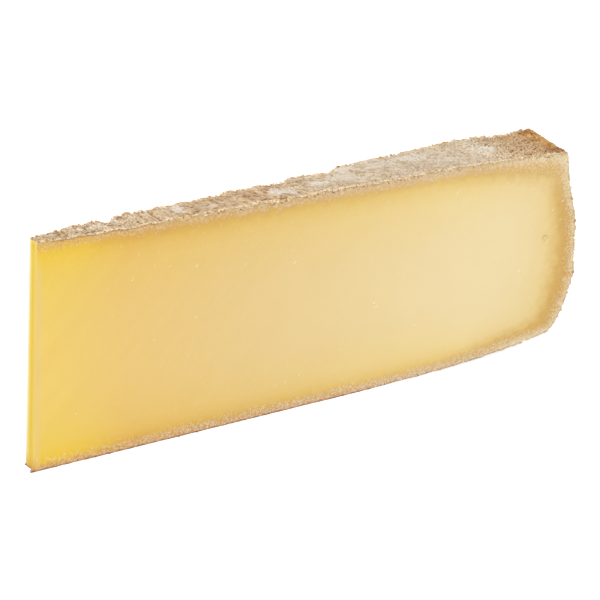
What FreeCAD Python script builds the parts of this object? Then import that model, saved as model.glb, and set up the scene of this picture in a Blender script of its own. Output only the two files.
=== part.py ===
import FreeCAD, Part
import math
import os

# A narrow wedge cut from a large wheel of pressed cheese, standing on the wheel's flat rind.
# Lengths are millimetres. While it is built, the wheel's axis is at X = 0, Y = 0 and the wedge's
# middle plane is Y = 0. +X runs from the trimmed tip out to the heel, and +Z is up.
# The finished solid is moved so that the middle of its footprint is the origin.

os.makedirs("parts", exist_ok=True)

# the wheel
WHEEL_HEIGHT = 105.2          # flat rind to flat rind
WHEEL_RADIUS = 325.4          # at the fullest height of the heel
FULLEST_HEIGHT = 42.0         # height at which the heel bulges most
SQUINT = 0.085                # the heel stands a little further out towards the back cut, mm per mm

# heel above its fullest height
TOP_SETBACK = 13.2            # the top rim stands this far inside the fullest radius
SETBACK_POWER = 1.45
SHOULDER_HOLLOW = 1.1         # the heel is slightly dished under the top rim
SHOULDER_HEIGHT = 87.0
SHOULDER_REACH = 9.0
RIM_ROUND = 1.3               # radius of the top rim

# heel below its fullest height, and the underside
LOWER_SETBACK = 13.6
LOWER_SQUARENESS = 1.8        # 2 would be a true ellipse
FLAT_RADIUS = 208.0           # the underside is flat out to here
EDGE_RISE = 7.3               # the underside has risen this much at the lower rim
FIRST_RISE = 0.55             # part of it comes early, within this distance of the flat
FIRST_RISE_LENGTH = 12.0
EDGE_POWER = 2.7

# top rind
TOP_FALL = 2.3                # the top rind drops this much towards the rim
TOP_FALL_START = 258.0
TOP_FALL_POWER = 1.75
BACK_DIP = 1.6                # a worn hollow by the back cut, near the heel
BACK_DIP_AT = 295.0
BACK_DIP_REACH = 11.0
BACK_CURL = 0.85              # behind the tip the top rind curls up a little at the back cut
BACK_CURL_START = 66.0
BACK_CURL_END = 118.0

# folds that the press cloth left across the top rind, strongest near the tip
FOLD_HEIGHT = 0.30
FOLD_SPACING = 13.5
FOLD_SLANT = 0.45

# the two cuts and the trimmed tip
HALF_ANGLE = math.radians(2.94)
BACK_LEAN = 1.61              # the back cut is this much further out at the foot than at the top
TIP_REACH_FOOT = 51.6         # wheel axis to tip, along the front cut, at the foot
TIP_REACH_TOP = 56.5          # and at the top, so the tip leans back
TIP_BACK_REACH = 49.8         # wheel axis to the tip's back edge at the foot
PINCH_LENGTH = 9.0            # the back cut pinches in over this length at the tip
PINCH_DEPTH = 1.0

# the block of wheel that the wedge is cut from
BLOCK_HALF_WIDTH = 26.0
BLOCK_START = 30.0
COLUMNS = 17

# small losses from the rind and the paste
NICK_AT = 88.0
NICK_RADIUS = 2.8
FLAKES = [                    # start, deepest place, end, depth
    (148.0, 172.8, 173.4, 2.6),
    (183.0, 194.0, 200.5, 3.6),
    (128.0, 135.4, 136.0, 1.1),
]
FLAKE_DROP = 2.2
EYE_AT = 303.7
EYE_HEIGHT = 60.8
EYE_RADIUS = 2.0
EYE_DEPTH = 0.8

# a tongue of the lower rind left sticking out under the tip
TONGUE_X = 51.4
TONGUE_Y = -2.6
TONGUE_RADIUS = 1.8
TONGUE_THICKNESS = 0.6


def ease(value, low, high):
    """Goes smoothly from 0 at low to 1 at high."""
    t = min(1.0, max(0.0, (value - low) / (high - low)))
    return t * t * (3.0 - 2.0 * t)


def underside_rows():
    """The underside, from the end of its flat out to the lower rim."""
    outer = WHEEL_RADIUS - LOWER_SETBACK
    rows = []
    for i in range(11):
        t = i / 11.0
        x = FLAT_RADIUS + (outer - FLAT_RADIUS) * t
        early = FIRST_RISE * (1.0 - math.exp(-(x - FLAT_RADIUS) / FIRST_RISE_LENGTH))
        rows.append((x, early + (EDGE_RISE - FIRST_RISE) * t ** EDGE_POWER))
    return rows


def lower_heel_rows():
    """The rounded lower rim, swelling out to the fullest height."""
    rows = []
    drop = FULLEST_HEIGHT - EDGE_RISE
    for i in range(10):
        angle = math.radians(8.0 + 82.0 * i / 9.0)
        across = 1.0 - math.sin(angle) ** (2.0 / LOWER_SQUARENESS)
        down = math.cos(angle) ** (2.0 / LOWER_SQUARENESS)
        rows.append((WHEEL_RADIUS - LOWER_SETBACK * across, FULLEST_HEIGHT - drop * down))
    return rows


def heel_setback(height):
    """How far the upper heel stands inside the fullest radius."""
    t = (height - FULLEST_HEIGHT) / (WHEEL_HEIGHT - TOP_FALL - FULLEST_HEIGHT)
    dish = SHOULDER_HOLLOW * math.exp(-((height - SHOULDER_HEIGHT) / SHOULDER_REACH) ** 2)
    return TOP_SETBACK * t ** SETBACK_POWER + dish


def upper_heel_rows():
    """The heel from its fullest height up to the top rim."""
    rows = []
    last = WHEEL_HEIGHT - TOP_FALL - RIM_ROUND
    for i in range(1, 12):
        t = i / 11.0
        height = FULLEST_HEIGHT + (last - FULLEST_HEIGHT) * (1.0 - (1.0 - t) ** 1.35)
        rows.append((WHEEL_RADIUS - heel_setback(height), height))
    return rows


def rim_rows(start):
    """The small round of the top rim, from the last row of the heel to the top rind."""
    rows = []
    for i in range(1, 4):
        angle = math.radians(90.0 * i / 3.0)
        out = start[0] - RIM_ROUND * (1.0 - math.cos(angle))
        rows.append((out, start[1] + RIM_ROUND * math.sin(angle)))
    return rows


def top_rows(start):
    """The top rind from the rim inwards, past the tip, to the start of the block."""
    rows = []
    span = start[0] - TOP_FALL_START
    for i in range(1, 11):
        t = (1.0 - i / 10.0) ** 1.25
        fall = TOP_FALL * t ** TOP_FALL_POWER
        rows.append((TOP_FALL_START + span * t, WHEEL_HEIGHT - fall))
    count = 58
    for i in range(1, count + 1):
        rows.append((TOP_FALL_START + (BLOCK_START - TOP_FALL_START) * i / count, WHEEL_HEIGHT))
    return rows


def rind_point(out, height, side):
    """One point of the rind: a place on the section, moved sideways and made gently uneven."""
    round_off = WHEEL_RADIUS - math.sqrt(WHEEL_RADIUS ** 2 - side ** 2)
    on_heel = ease(out, 262.0, 306.0)
    on_top = ease(height, 84.0, 101.0) * ease(out, BLOCK_START, BLOCK_START + 18.0)
    swell = 0.32 * math.sin(0.16 * height + 0.21 * side)
    swell += 0.22 * math.sin(0.27 * height - 0.17 * side + 1.3)
    x = out + on_heel * (SQUINT * side - round_off)
    x += on_heel * ease(height, 6.0, 22.0) * (1.0 - 0.7 * on_top) * swell
    ripple = 0.15 * math.sin(0.115 * out + 0.20 * side + 0.6)
    phase = out + FOLD_SLANT * side + 2.6 * math.sin(0.052 * out)
    fold = FOLD_HEIGHT * (1.0 - 0.72 * ease(out, 165.0, 225.0))
    fold *= 0.75 + 0.25 * math.sin(0.09 * out + 0.15 * side)
    ripple += fold * math.sin(2.0 * math.pi * phase / FOLD_SPACING)
    dip = BACK_DIP * math.exp(-((out - BACK_DIP_AT) / BACK_DIP_REACH) ** 2) * ease(side, -4.0, 15.0)
    curl = BACK_CURL * ease(out, BACK_CURL_START, BACK_CURL_START + 12.0) * ease(side, -2.0, 3.0)
    curl *= 1.0 - ease(out, BACK_CURL_END - 28.0, BACK_CURL_END)
    z = height + on_top * (ripple - dip + curl)
    return FreeCAD.Vector(x, side, z)


def wheel_block():
    """A straight-sided block of the wheel, its rind one smooth surface from underside to top."""
    section = underside_rows() + lower_heel_rows() + upper_heel_rows()
    section += rim_rows(section[-1])
    section += top_rows(section[-1])
    grid = []
    for out, height in section:
        row = []
        for j in range(COLUMNS):
            side = BLOCK_HALF_WIDTH * (2.0 * j / (COLUMNS - 1) - 1.0)
            row.append(rind_point(out, height, side))
        grid.append(row)
    surface = Part.BSplineSurface()
    surface.interpolate(grid)
    rind = surface.toShape()

    near_side = BLOCK_HALF_WIDTH
    faces = [rind]
    foot = []
    for y in (-near_side, near_side):
        inner = FreeCAD.Vector(BLOCK_START, y, 0)
        outer = FreeCAD.Vector(FLAT_RADIUS, y, 0)
        high = FreeCAD.Vector(BLOCK_START, y, WHEEL_HEIGHT)
        curve = edge_on_plane(rind, y)
        wire = Part.Wire(Part.__sortEdges__([Part.makeLine(inner, outer), curve, Part.makeLine(high, inner)]))
        faces.append(Part.Face(wire))
        foot.append((inner, outer, high))
    (a, b, c), (d, e, f) = foot
    faces.append(Part.Face(Part.makePolygon([a, b, e, d, a])))
    faces.append(Part.Face(Part.makePolygon([a, d, f, c, a])))
    shell = Part.Shell(faces)
    shell.sewShape()
    return Part.Solid(shell)


def edge_on_plane(face, side):
    """The edge of a face that lies wholly in the plane Y = side."""
    for edge in face.Edges:
        if all(abs(point.y - side) < 1e-4 for point in edge.discretize(7)):
            return edge
    raise RuntimeError("the rind has no edge at Y = %g" % side)


def solid_from_corners(low, high):
    """A closed solid with flat faces between two loops of corners."""
    count = len(low)
    faces = [Part.Face(Part.makePolygon(low + [low[0]])), Part.Face(Part.makePolygon(high + [high[0]]))]
    for i in range(count):
        j = (i + 1) % count
        faces.append(Part.Face(Part.makePolygon([low[i], low[j], high[j], high[i], low[i]])))
    shell = Part.Shell(faces)
    shell.sewShape()
    solid = Part.Solid(shell)
    if solid.Volume < 0:
        solid.reverse()
    return solid


def back_offset(height):
    """How far the leaning back cut stands outside the plane through the wheel's axis."""
    return BACK_LEAN * (1.0 - height / WHEEL_HEIGHT)


def front_point(reach, height):
    return FreeCAD.Vector(reach * math.cos(HALF_ANGLE), -reach * math.sin(HALF_ANGLE), height)


def back_point(x, height):
    return FreeCAD.Vector(x, x * math.tan(HALF_ANGLE) + back_offset(height), height)


def tip_plane_x(y, height):
    """X of the trimmed tip's flat face at one place."""
    foot_front = front_point(TIP_REACH_FOOT, 0.0)
    top_front = front_point(TIP_REACH_TOP, WHEEL_HEIGHT)
    foot_back = back_point(TIP_BACK_REACH, 0.0)
    normal = (top_front - foot_front).cross(foot_back - foot_front)
    return foot_front.x - (normal.y * (y - foot_front.y) + normal.z * height) / normal.x


def cutting_solid():
    """The space between the front cut, the back cut and the trimmed tip."""
    loops = []
    for height in (0.0, WHEEL_HEIGHT + 12.0):
        front_x = 0.0
        back_x = 0.0
        for _ in range(12):
            front_x = tip_plane_x(-front_x * math.tan(HALF_ANGLE), height)
            back_x = tip_plane_x(back_x * math.tan(HALF_ANGLE) + back_offset(height), height)
        far = WHEEL_RADIUS + 25.0
        tip_front = FreeCAD.Vector(front_x, -front_x * math.tan(HALF_ANGLE), height)
        heel_front = FreeCAD.Vector(far, -far * math.tan(HALF_ANGLE), height)
        loops.append([tip_front, heel_front, back_point(far, height), back_point(back_x, height)])
    return solid_from_corners(loops[0], loops[1])


def pinch_solid():
    """What the back cut loses where it pinches in at the tip: nothing at the foot, most at the top."""
    top_x = tip_plane_x(1.0, WHEEL_HEIGHT)
    edge = back_point(top_x, WHEEL_HEIGHT)
    near = FreeCAD.Vector(top_x, edge.y - PINCH_DEPTH, WHEEL_HEIGHT)
    far = back_point(top_x + PINCH_LENGTH, WHEEL_HEIGHT)
    foot = back_point(TIP_BACK_REACH, 0.0)
    along = far - near
    start = near - along * 1.5
    end = far + along * 0.6
    rise = (near - foot) * 0.12
    low = foot - (near - foot) * 0.05
    outward = FreeCAD.Vector(-along.y, along.x, 0).normalize() * 14.0
    high_a = start + rise
    high_b = end + rise
    low_a = low - along * 1.5
    low_b = low + along * 0.05
    inner = [low_a, low_b, high_b, high_a]
    outer = [point + outward for point in inner]
    return solid_from_corners(inner, outer)


def flake(start, deepest, end, depth):
    """A flake lost from the top rind at the back cut, deepest towards its end at the heel."""
    base = WHEEL_HEIGHT - FLAKE_DROP
    low = []
    for x, inward in ((start, -1.5), (end, -1.5), (end, -0.2), (deepest, depth), (start, -0.2)):
        low.append(FreeCAD.Vector(x, x * math.tan(HALF_ANGLE) - inward, base))
    high = [point + FreeCAD.Vector(0, 0, FLAKE_DROP + 4.0) for point in low]
    return solid_from_corners(low, high)


def nick():
    """A crumb broken out of the top rind's back edge, near the tip."""
    y = NICK_AT * math.tan(HALF_ANGLE)
    centre = FreeCAD.Vector(NICK_AT, y - 0.6, WHEEL_HEIGHT + 0.3)
    return Part.makeSphere(NICK_RADIUS, centre)


def eye():
    """A small shallow hole in the front cut, close to the heel."""
    outward = FreeCAD.Vector(-math.sin(HALF_ANGLE), -math.cos(HALF_ANGLE), 0)
    on_cut = FreeCAD.Vector(EYE_AT, -EYE_AT * math.tan(HALF_ANGLE), EYE_HEIGHT)
    return Part.makeSphere(EYE_RADIUS, on_cut + outward * (EYE_RADIUS - EYE_DEPTH))


def tongue():
    """The thin tongue of lower rind under the tip."""
    return Part.makeCylinder(TONGUE_RADIUS, TONGUE_THICKNESS, FreeCAD.Vector(TONGUE_X, TONGUE_Y, 0))


def wedge():
    body = wheel_block().common(cutting_solid())
    body = body.fuse(tongue()).removeSplitter()
    losses = [pinch_solid(), nick(), eye()]
    for start, deepest, end, depth in FLAKES:
        losses.append(flake(start, deepest, end, depth))
    for loss in losses:
        body = body.cut(loss)
    solid = body.Solids[0]
    box = solid.optimalBoundingBox(True, False)
    middle_x = 0.5 * (box.XMin + box.XMax)
    middle_y = 0.5 * (box.YMin + box.YMax)
    solid.translate(FreeCAD.Vector(-middle_x, -middle_y, 0.0))
    print("moved by %.3f %.3f" % (-middle_x, -middle_y))
    print("box %.2f x %.2f x %.2f" % (box.XLength, box.YLength, box.ZLength))
    print("solids %d, valid %s, volume %.1f" % (len(body.Solids), solid.isValid(), solid.Volume))
    return solid


wedge().exportStep("parts/comte_wedge.step")
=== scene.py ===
import math

import bmesh
import bpy
import numpy as np
from bpy.props import FloatProperty, FloatVectorProperty, IntProperty, PointerProperty
from mathutils import Matrix, Vector
from mathutils.geometry import delaunay_2d_cdt


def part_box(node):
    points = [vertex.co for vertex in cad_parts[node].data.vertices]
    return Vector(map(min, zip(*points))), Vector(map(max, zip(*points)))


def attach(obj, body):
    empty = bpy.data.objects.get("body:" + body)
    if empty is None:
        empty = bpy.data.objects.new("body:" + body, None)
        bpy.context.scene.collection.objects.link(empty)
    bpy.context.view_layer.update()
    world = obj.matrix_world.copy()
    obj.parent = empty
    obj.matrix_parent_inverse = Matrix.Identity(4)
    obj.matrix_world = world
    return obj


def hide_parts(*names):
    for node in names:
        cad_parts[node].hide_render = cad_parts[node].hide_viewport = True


# A long narrow wedge of hard pressed cheese, standing on its flat rind. The paste, the rind, the
# crumbs on their edges and the crystals in the paste are built as separate closed meshes.
# Lengths inside the making functions are millimetres in the wheel's own frame: the wheel's axis is
# at X = 0, Y = 0, +X runs out to the heel, and +Z is up. Meshes are moved to the row frame at the end.

bl_info = {
    "name": "Hard cheese wedge",
    "version": (1, 0, 0),
    "blender": (4, 5, 0),
    "location": "3D View > Sidebar > Cheese",
    "description": "Builds a wedge of hard pressed cheese with its rind, crumbs and crystals",
    "category": "Add Mesh",
}

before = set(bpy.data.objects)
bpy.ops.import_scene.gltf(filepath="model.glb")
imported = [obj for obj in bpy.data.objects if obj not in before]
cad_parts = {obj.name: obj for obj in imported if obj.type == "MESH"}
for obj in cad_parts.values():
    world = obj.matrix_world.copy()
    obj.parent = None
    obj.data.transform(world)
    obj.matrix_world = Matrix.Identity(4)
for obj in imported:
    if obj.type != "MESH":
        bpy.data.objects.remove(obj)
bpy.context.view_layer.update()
WEDGE_LOW, WEDGE_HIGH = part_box("comte_wedge")

MM_IN_METRE = 1000.0
METRES_IN_MM = 0.001

# where the wheel's axis stands, seen from the middle of the wedge's box
AXIS_FROM_MIDDLE_X = -187.973
AXIS_FROM_MIDDLE_Y = -0.627

# The form, as the solid has it. First the heel: its fullest height, how it swings round the wheel, and
# its curve up to the rounded top rim.
FULLEST_HEIGHT = 42.0
SQUINT = 0.085
TOP_SETBACK = 13.2
SETBACK_POWER = 1.45
SHOULDER_HOLLOW = 1.1
SHOULDER_HEIGHT = 87.0
SHOULDER_REACH = 9.0
RIM_ROUND = 1.3
# its curve down to the lower rim, and the underside's rise from the flat middle
LOWER_SETBACK = 13.6
LOWER_SQUARENESS = 1.8
FLAT_RADIUS = 208.0
EDGE_RISE = 7.3
FIRST_RISE = 0.55
FIRST_RISE_LENGTH = 12.0
EDGE_POWER = 2.7
# the lower rim itself is left to run smoothly from the last angle of that curve to the underside
HEEL_LAST_ANGLE = 8.0
UNDERSIDE_FIRST_SHARE = 10.0 / 11.0
# the top rind's fall towards the heel, and the dip and the curl along its back edge
TOP_FALL = 2.3
TOP_FALL_START = 258.0
TOP_FALL_POWER = 1.75
BACK_DIP = 1.6
BACK_DIP_AT = 295.0
BACK_DIP_REACH = 11.0
BACK_CURL = 0.85
BACK_CURL_START = 66.0
BACK_CURL_END = 118.0
# where the heel starts, going out, and where the top starts, going up and out
HEEL_COMES = (262.0, 306.0)
TOP_COMES_UP = (84.0, 101.0)
TOP_COMES_OUT = (30.0, 48.0)
# the gentle unevenness of the heel and the top, and the top's low folds, which wander and die away
SWELLS = ((0.32, 0.16, 0.21, 0.0), (0.22, 0.27, -0.17, 1.3))   # height, turns up, turns across, start
RIPPLE = (0.15, 0.115, 0.20, 0.6)                               # height, turns out, turns across, start
FOLD_HEIGHT = 0.30
FOLD_SPACING = 13.5
FOLD_SLANT = 0.45
FOLD_WANDER = (2.6, 0.052, 0.0, 0.0)
FOLD_VARIES = (0.25, 0.09, 0.15, 0.0)
FOLD_FADE = (165.0, 225.0)
# the back cut's lean, the trimmed tip, and the pinch in the back cut beside it
BACK_LEAN = 1.61
TIP_REACH_FOOT = 51.6
TIP_REACH_TOP = 56.5
TIP_BACK_REACH = 49.8
PINCH_LENGTH = 9.0
PINCH_DEPTH = 1.0
# the nick in the top's back edge, and the flakes lost from that edge: start, deepest place, end, depth
NICK_AT = 88.0
NICK_RADIUS = 2.8
NICK_INWARD, NICK_ABOVE = 0.6, 0.3         # where the nick's round middle lies, from the edge and the top
FLAKES = [(148.0, 172.8, 173.4, 2.6), (183.0, 194.0, 200.5, 3.6), (128.0, 135.4, 136.0, 1.1)]
FLAKE_DROP = 2.2
# the small eye in the front cut, and the tongue of rind left under the tip
EYE_AT = 303.7
EYE_HEIGHT = 60.8
EYE_RADIUS = 1.8
EYE_DEPTH = 0.55
TONGUE_X = 51.4
TONGUE_Y = -2.6
TONGUE_RADIUS = 1.8

# rows of the rind are bent to follow the trimmed tip over this stretch
TIP_ROWS_END = 75.0
TIP_ROWS_START = 50.0

# chips broken out of the top rind: x, y, half length, half width, depth
CHIPS = [
    (119.2, -3.9, 1.9, 0.8, 0.9),
    (157.0, -5.6, 2.3, 0.9, 0.8),
    (159.4, -8.0, 1.5, 0.6, 0.8),
    (168.0, 7.0, 1.8, 0.6, 0.7),
    (178.4, -7.4, 1.4, 0.7, 0.9),
    (150.2, 3.2, 1.2, 0.8, 0.4),
    (241.0, 12.6, 1.0, 0.7, 0.5),
    (234.4, -9.6, 0.8, 0.6, 0.6),
    (253.2, -9.6, 0.9, 0.5, 0.6),
    (258.4, -10.4, 1.0, 0.5, 0.6),
    (262.9, -10.9, 1.3, 0.5, 0.6),
]

# places on the top rind rubbed smooth and whitish: x, y, half length, half width, strength
RUBBED = [
    (64.0, 1.3, 5.0, 0.9, 0.5),
    (74.0, 0.5, 2.8, 0.9, 0.8),
    (81.5, 0.6, 3.0, 1.6, 0.35),
    (90.6, 3.0, 1.9, 1.6, 0.9),
    (118.6, 1.2, 3.8, 2.8, 0.95),
    (131.0, -2.2, 5.0, 1.6, 0.35),
    (166.2, -1.8, 5.5, 3.0, 0.9),
    (185.4, -1.0, 5.0, 2.0, 0.9),
    (199.0, 0.6, 8.0, 4.0, 0.65),
    (201.0, 9.0, 9.0, 3.6, 0.9),
    (221.0, 6.0, 9.0, 4.2, 0.6),
    (238.0, 5.6, 9.0, 5.0, 0.7),
    (250.0, -2.0, 8.0, 4.0, 0.4),
    (275.0, 1.2, 6.5, 3.0, 0.95),
]


# ---------------------------------------------------------------- small sums and steady noise

def ease(value, low, high):
    """Goes smoothly from 0 at low to 1 at high."""
    t = np.clip((value - low) / (high - low), 0.0, 1.0)
    return t * t * (3.0 - 2.0 * t)


def fade(value, low, high):
    """Goes smoothly from 1 at low to 0 at high."""
    return 1.0 - ease(value, low, high)


def within(value, stretch):
    """1 inside a stretch, which is given as where it comes up and where it dies away again."""
    coming, going = stretch
    return ease(value, *coming) * fade(value, *going)


def bell(value, middle, reach):
    """Goes up to 1 at the middle and dies away on both sides of it."""
    return np.exp(-((value - middle) / reach) ** 2)


def wave(u, v, height, turns_u, turns_v, start):
    """A plain wave: its height, how fast it turns along u and along v, and where it starts."""
    return height * np.sin(turns_u * u + turns_v * v + start)


def cell_random(i, j, seed):
    """A steady random number from 0 to 1 for each square of a grid."""
    n = i.astype(np.int64) * 374761393 + j.astype(np.int64) * 668265263 + seed * 974634777
    n = n.astype(np.uint64)
    n = (n ^ (n >> np.uint64(29))) * np.uint64(0xBF58476D1CE4E5B9)
    n = (n ^ (n >> np.uint64(32))) * np.uint64(0x94D049BB133111EB)
    n = n ^ (n >> np.uint64(29))
    return (n & np.uint64(0xFFFFFF)).astype(float) / 0xFFFFFF


def noise(u, v, size, seed):
    """Smooth noise from -1 to 1 with lumps of about this size."""
    a, b = u / size, v / size
    i, j = np.floor(a), np.floor(b)
    f, g = ease(a - i, 0.0, 1.0), ease(b - j, 0.0, 1.0)
    low = cell_random(i, j, seed) * (1.0 - f) + cell_random(i + 1, j, seed) * f
    high = cell_random(i, j + 1, seed) * (1.0 - f) + cell_random(i + 1, j + 1, seed) * f
    return 2.0 * (low * (1.0 - g) + high * g) - 1.0


def rough(u, v, size, seed, count=3):
    """Noise in several sizes, each half as large and a little over half as strong as the last."""
    total = np.zeros_like(u)
    strength, whole = 1.0, 0.0
    for k in range(count):
        total += strength * noise(u + 17.3 * k, v - 9.1 * k, size / 2 ** k, seed + 11 * k)
        whole += strength
        strength *= 0.6
    return total / whole


def cells(u, v, size, seed):
    """For grains of about this size: the distance to the nearest one's middle, and its own number."""
    a, b = u / size, v / size
    i, j = np.floor(a), np.floor(b)
    nearest = np.full(a.shape, 9.0)
    number = np.zeros(a.shape)
    for di in (-1, 0, 1):
        for dj in (-1, 0, 1):
            ci, cj = i + di, j + dj
            across = ci + 0.15 + 0.7 * cell_random(ci, cj, seed)
            along = cj + 0.15 + 0.7 * cell_random(ci, cj, seed + 1)
            distance = np.hypot(a - across, b - along)
            closer = distance < nearest
            nearest = np.where(closer, distance, nearest)
            number = np.where(closer, cell_random(ci, cj, seed + 2), number)
    return nearest, number


# ---------------------------------------------------------------- the wheel and its cuts

class Wheel:
    """The wheel's rind and the cuts that make the wedge, all as functions of place."""

    def __init__(self, sizes):
        self.height = sizes.wheel_height * MM_IN_METRE
        self.radius = sizes.wheel_radius * MM_IN_METRE
        self.slope = math.tan(sizes.wedge_angle / 2.0)
        self.crust = sizes.rind_thickness * MM_IN_METRE
        self.plane_of_tip()
        self.plane_of_pinch()

    def plane_of_tip(self):
        """The plane that trims the tip: through the front edge's foot and top and the back edge's foot."""
        c = 1.0 / math.sqrt(1.0 + self.slope ** 2)
        s = self.slope * c
        foot = np.array([TIP_REACH_FOOT * c, -TIP_REACH_FOOT * s, 0.0])
        top = np.array([TIP_REACH_TOP * c, -TIP_REACH_TOP * s, self.height])
        back = np.array([TIP_BACK_REACH, TIP_BACK_REACH * self.slope + BACK_LEAN, 0.0])
        self.tip_foot = foot
        self.tip_normal = np.cross(top - foot, back - foot)

    def tip_x(self, y, z):
        """How far out the trimmed tip stands."""
        n, foot = self.tip_normal, self.tip_foot
        return foot[0] - (n[1] * (y - foot[1]) + n[2] * z) / n[0]

    def plane_of_pinch(self):
        """The plane that pinches the back cut in beside the tip's top."""
        top_x = self.tip_x(1.0, self.height)
        near = np.array([top_x, top_x * self.slope - PINCH_DEPTH, self.height])
        far = np.array([top_x + PINCH_LENGTH, (top_x + PINCH_LENGTH) * self.slope, self.height])
        foot = np.array([TIP_BACK_REACH, TIP_BACK_REACH * self.slope + BACK_LEAN, 0.0])
        self.pinch = (near, np.cross(far - near, foot - near))

    def front_y(self, x):
        """The plane of the front cut."""
        return -x * self.slope

    def back_y(self, x, z):
        """The leaning back cut, pinched in at the tip and with flakes lost along its top edge."""
        cut = x * self.slope + BACK_LEAN * (1.0 - z / self.height)
        near, n = self.pinch
        pinched = near[1] - (n[0] * (x - near[0]) + n[2] * (z - near[2])) / n[1]
        cut = np.minimum(cut, pinched)
        lost = np.zeros_like(cut)
        for start, deepest, end, depth in FLAKES:
            grown = np.clip((x - start) / (deepest - start), 0.0, 1.0)
            left = np.clip((end - x) / (end - deepest), 0.0, 1.0)
            lost = np.maximum(lost, depth * np.minimum(grown, left))
        return cut - lost * ease(z, self.height - FLAKE_DROP - 0.3, self.height - FLAKE_DROP + 0.4)

    def heel_setback(self, z):
        """How far the heel has fallen back from its fullest height, above that height."""
        t = (z - FULLEST_HEIGHT) / (self.height - TOP_FALL - FULLEST_HEIGHT)
        dish = SHOULDER_HOLLOW * bell(z, SHOULDER_HEIGHT, SHOULDER_REACH)
        return TOP_SETBACK * np.clip(t, 0.0, None) ** SETBACK_POWER + dish

    def section(self):
        """The rind's section as a fine line, from the tip's top over the heel to the tip's foot."""
        last = self.height - TOP_FALL - RIM_ROUND
        shoulder = self.radius - float(self.heel_setback(np.array(last)))
        rim = shoulder - RIM_ROUND
        x = np.linspace(TIP_ROWS_START, TOP_FALL_START, 400)
        line = [np.stack([x, np.full_like(x, self.height)], 1)]
        t = np.linspace(0.0, 1.0, 120)[1:]
        x = TOP_FALL_START + (rim - TOP_FALL_START) * t
        line.append(np.stack([x, self.height - TOP_FALL * t ** TOP_FALL_POWER], 1))
        a = np.radians(np.linspace(90.0, 0.0, 12)[1:])
        line.append(np.stack([rim + RIM_ROUND * np.cos(a), last + RIM_ROUND * np.sin(a)], 1))
        z = np.linspace(last, FULLEST_HEIGHT, 200)[1:]
        line.append(np.stack([self.radius - self.heel_setback(z), z], 1))
        a = np.radians(np.linspace(90.0, HEEL_LAST_ANGLE, 120)[1:])
        across = 1.0 - np.sin(a) ** (2.0 / LOWER_SQUARENESS)
        down = np.cos(a) ** (2.0 / LOWER_SQUARENESS)
        drop = FULLEST_HEIGHT - EDGE_RISE
        line.append(np.stack([self.radius - LOWER_SETBACK * across, FULLEST_HEIGHT - drop * down], 1))
        outer = self.radius - LOWER_SETBACK
        t = np.linspace(UNDERSIDE_FIRST_SHARE, 0.0, 120)
        x = FLAT_RADIUS + (outer - FLAT_RADIUS) * t
        z = FIRST_RISE * (1.0 - np.exp(-(x - FLAT_RADIUS) / FIRST_RISE_LENGTH))
        line.append(np.stack([x, z + (EDGE_RISE - FIRST_RISE) * t ** EDGE_POWER], 1))
        x = np.linspace(FLAT_RADIUS, TIP_ROWS_START, 300)[1:]
        line.append(np.stack([x, np.zeros_like(x)], 1))
        return np.concatenate(line)

    def stations(self, spacing):
        """Rows along the section, their spacing in millimetres given by a function of the distance
        along it, which starts at the tip's own distance from the wheel's axis."""
        line = self.section()
        step = np.hypot(*np.diff(line, axis=0).T)
        along = TIP_ROWS_START + np.concatenate([[0.0], np.cumsum(step)])
        fine = np.linspace(along[0], along[-1], 6000)
        count = np.concatenate([[0.0], np.cumsum(np.diff(fine) / spacing(fine[1:]))])
        wanted = np.linspace(0.0, count[-1], int(count[-1]) + 2)
        at = np.interp(wanted, count, fine)
        return at, np.interp(at, along, line[:, 0]), np.interp(at, along, line[:, 1])

    def rind_point(self, out, height, side):
        """A point of the rind: a place on the section, moved sideways and made gently uneven."""
        round_off = self.radius - np.sqrt(self.radius ** 2 - side ** 2)
        on_heel = ease(out, *HEEL_COMES)
        on_top = ease(height, *TOP_COMES_UP) * ease(out, *TOP_COMES_OUT)
        swell = sum(wave(height, side, *each) for each in SWELLS)
        x = out + on_heel * (SQUINT * side - round_off)
        x = x + on_heel * ease(height, 6.0, 22.0) * (1.0 - 0.7 * on_top) * swell
        ripple = wave(out, side, *RIPPLE)
        phase = out + FOLD_SLANT * side + wave(out, side, *FOLD_WANDER)
        fold = FOLD_HEIGHT * (1.0 - 0.72 * ease(out, *FOLD_FADE))
        fold = fold * (0.75 + wave(out, side, *FOLD_VARIES))
        ripple = ripple + fold * np.sin(2.0 * math.pi * phase / FOLD_SPACING)
        dip = BACK_DIP * bell(out, BACK_DIP_AT, BACK_DIP_REACH) * ease(side, -4.0, 15.0)
        curl = BACK_CURL * ease(out, BACK_CURL_START, BACK_CURL_START + 12.0) * ease(side, -2.0, 3.0)
        curl = curl * fade(out, BACK_CURL_END - 28.0, BACK_CURL_END)
        return x, height + on_top * (ripple - dip + curl)

    def nicked(self, x, y, z, below):
        """Lowers the top where a crumb has broken out of its back edge."""
        middle_y = NICK_AT * self.slope - NICK_INWARD
        reach = (x - NICK_AT) ** 2 + (y - middle_y) ** 2
        floor = self.height + NICK_ABOVE - np.sqrt(np.clip(NICK_RADIUS ** 2 - reach, 0.0, None)) - below
        inside = (reach < NICK_RADIUS ** 2) & (z > self.height - 12.0)
        return np.where(inside, np.minimum(z, floor), z)

    def spread(self, out, height, place):
        """Points of the rind in rows along the section and columns from front cut to back cut.
        place turns the width at each row into distances from the front cut."""
        out, height = out[:, None], height[:, None]
        x, z = out, height
        bend = np.clip((TIP_ROWS_END - out) / (TIP_ROWS_END - TIP_ROWS_START), 0.0, 1.0)
        for _ in range(4):
            front = self.front_y(x)
            side = front + place(self.back_y(x, z) - front)
            start = self.tip_x(side, height)
            real = np.where(bend > 0.0, TIP_ROWS_END - bend * (TIP_ROWS_END - start), out)
            x, z = self.rind_point(real, height, side)
        return real, x, side, z

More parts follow.
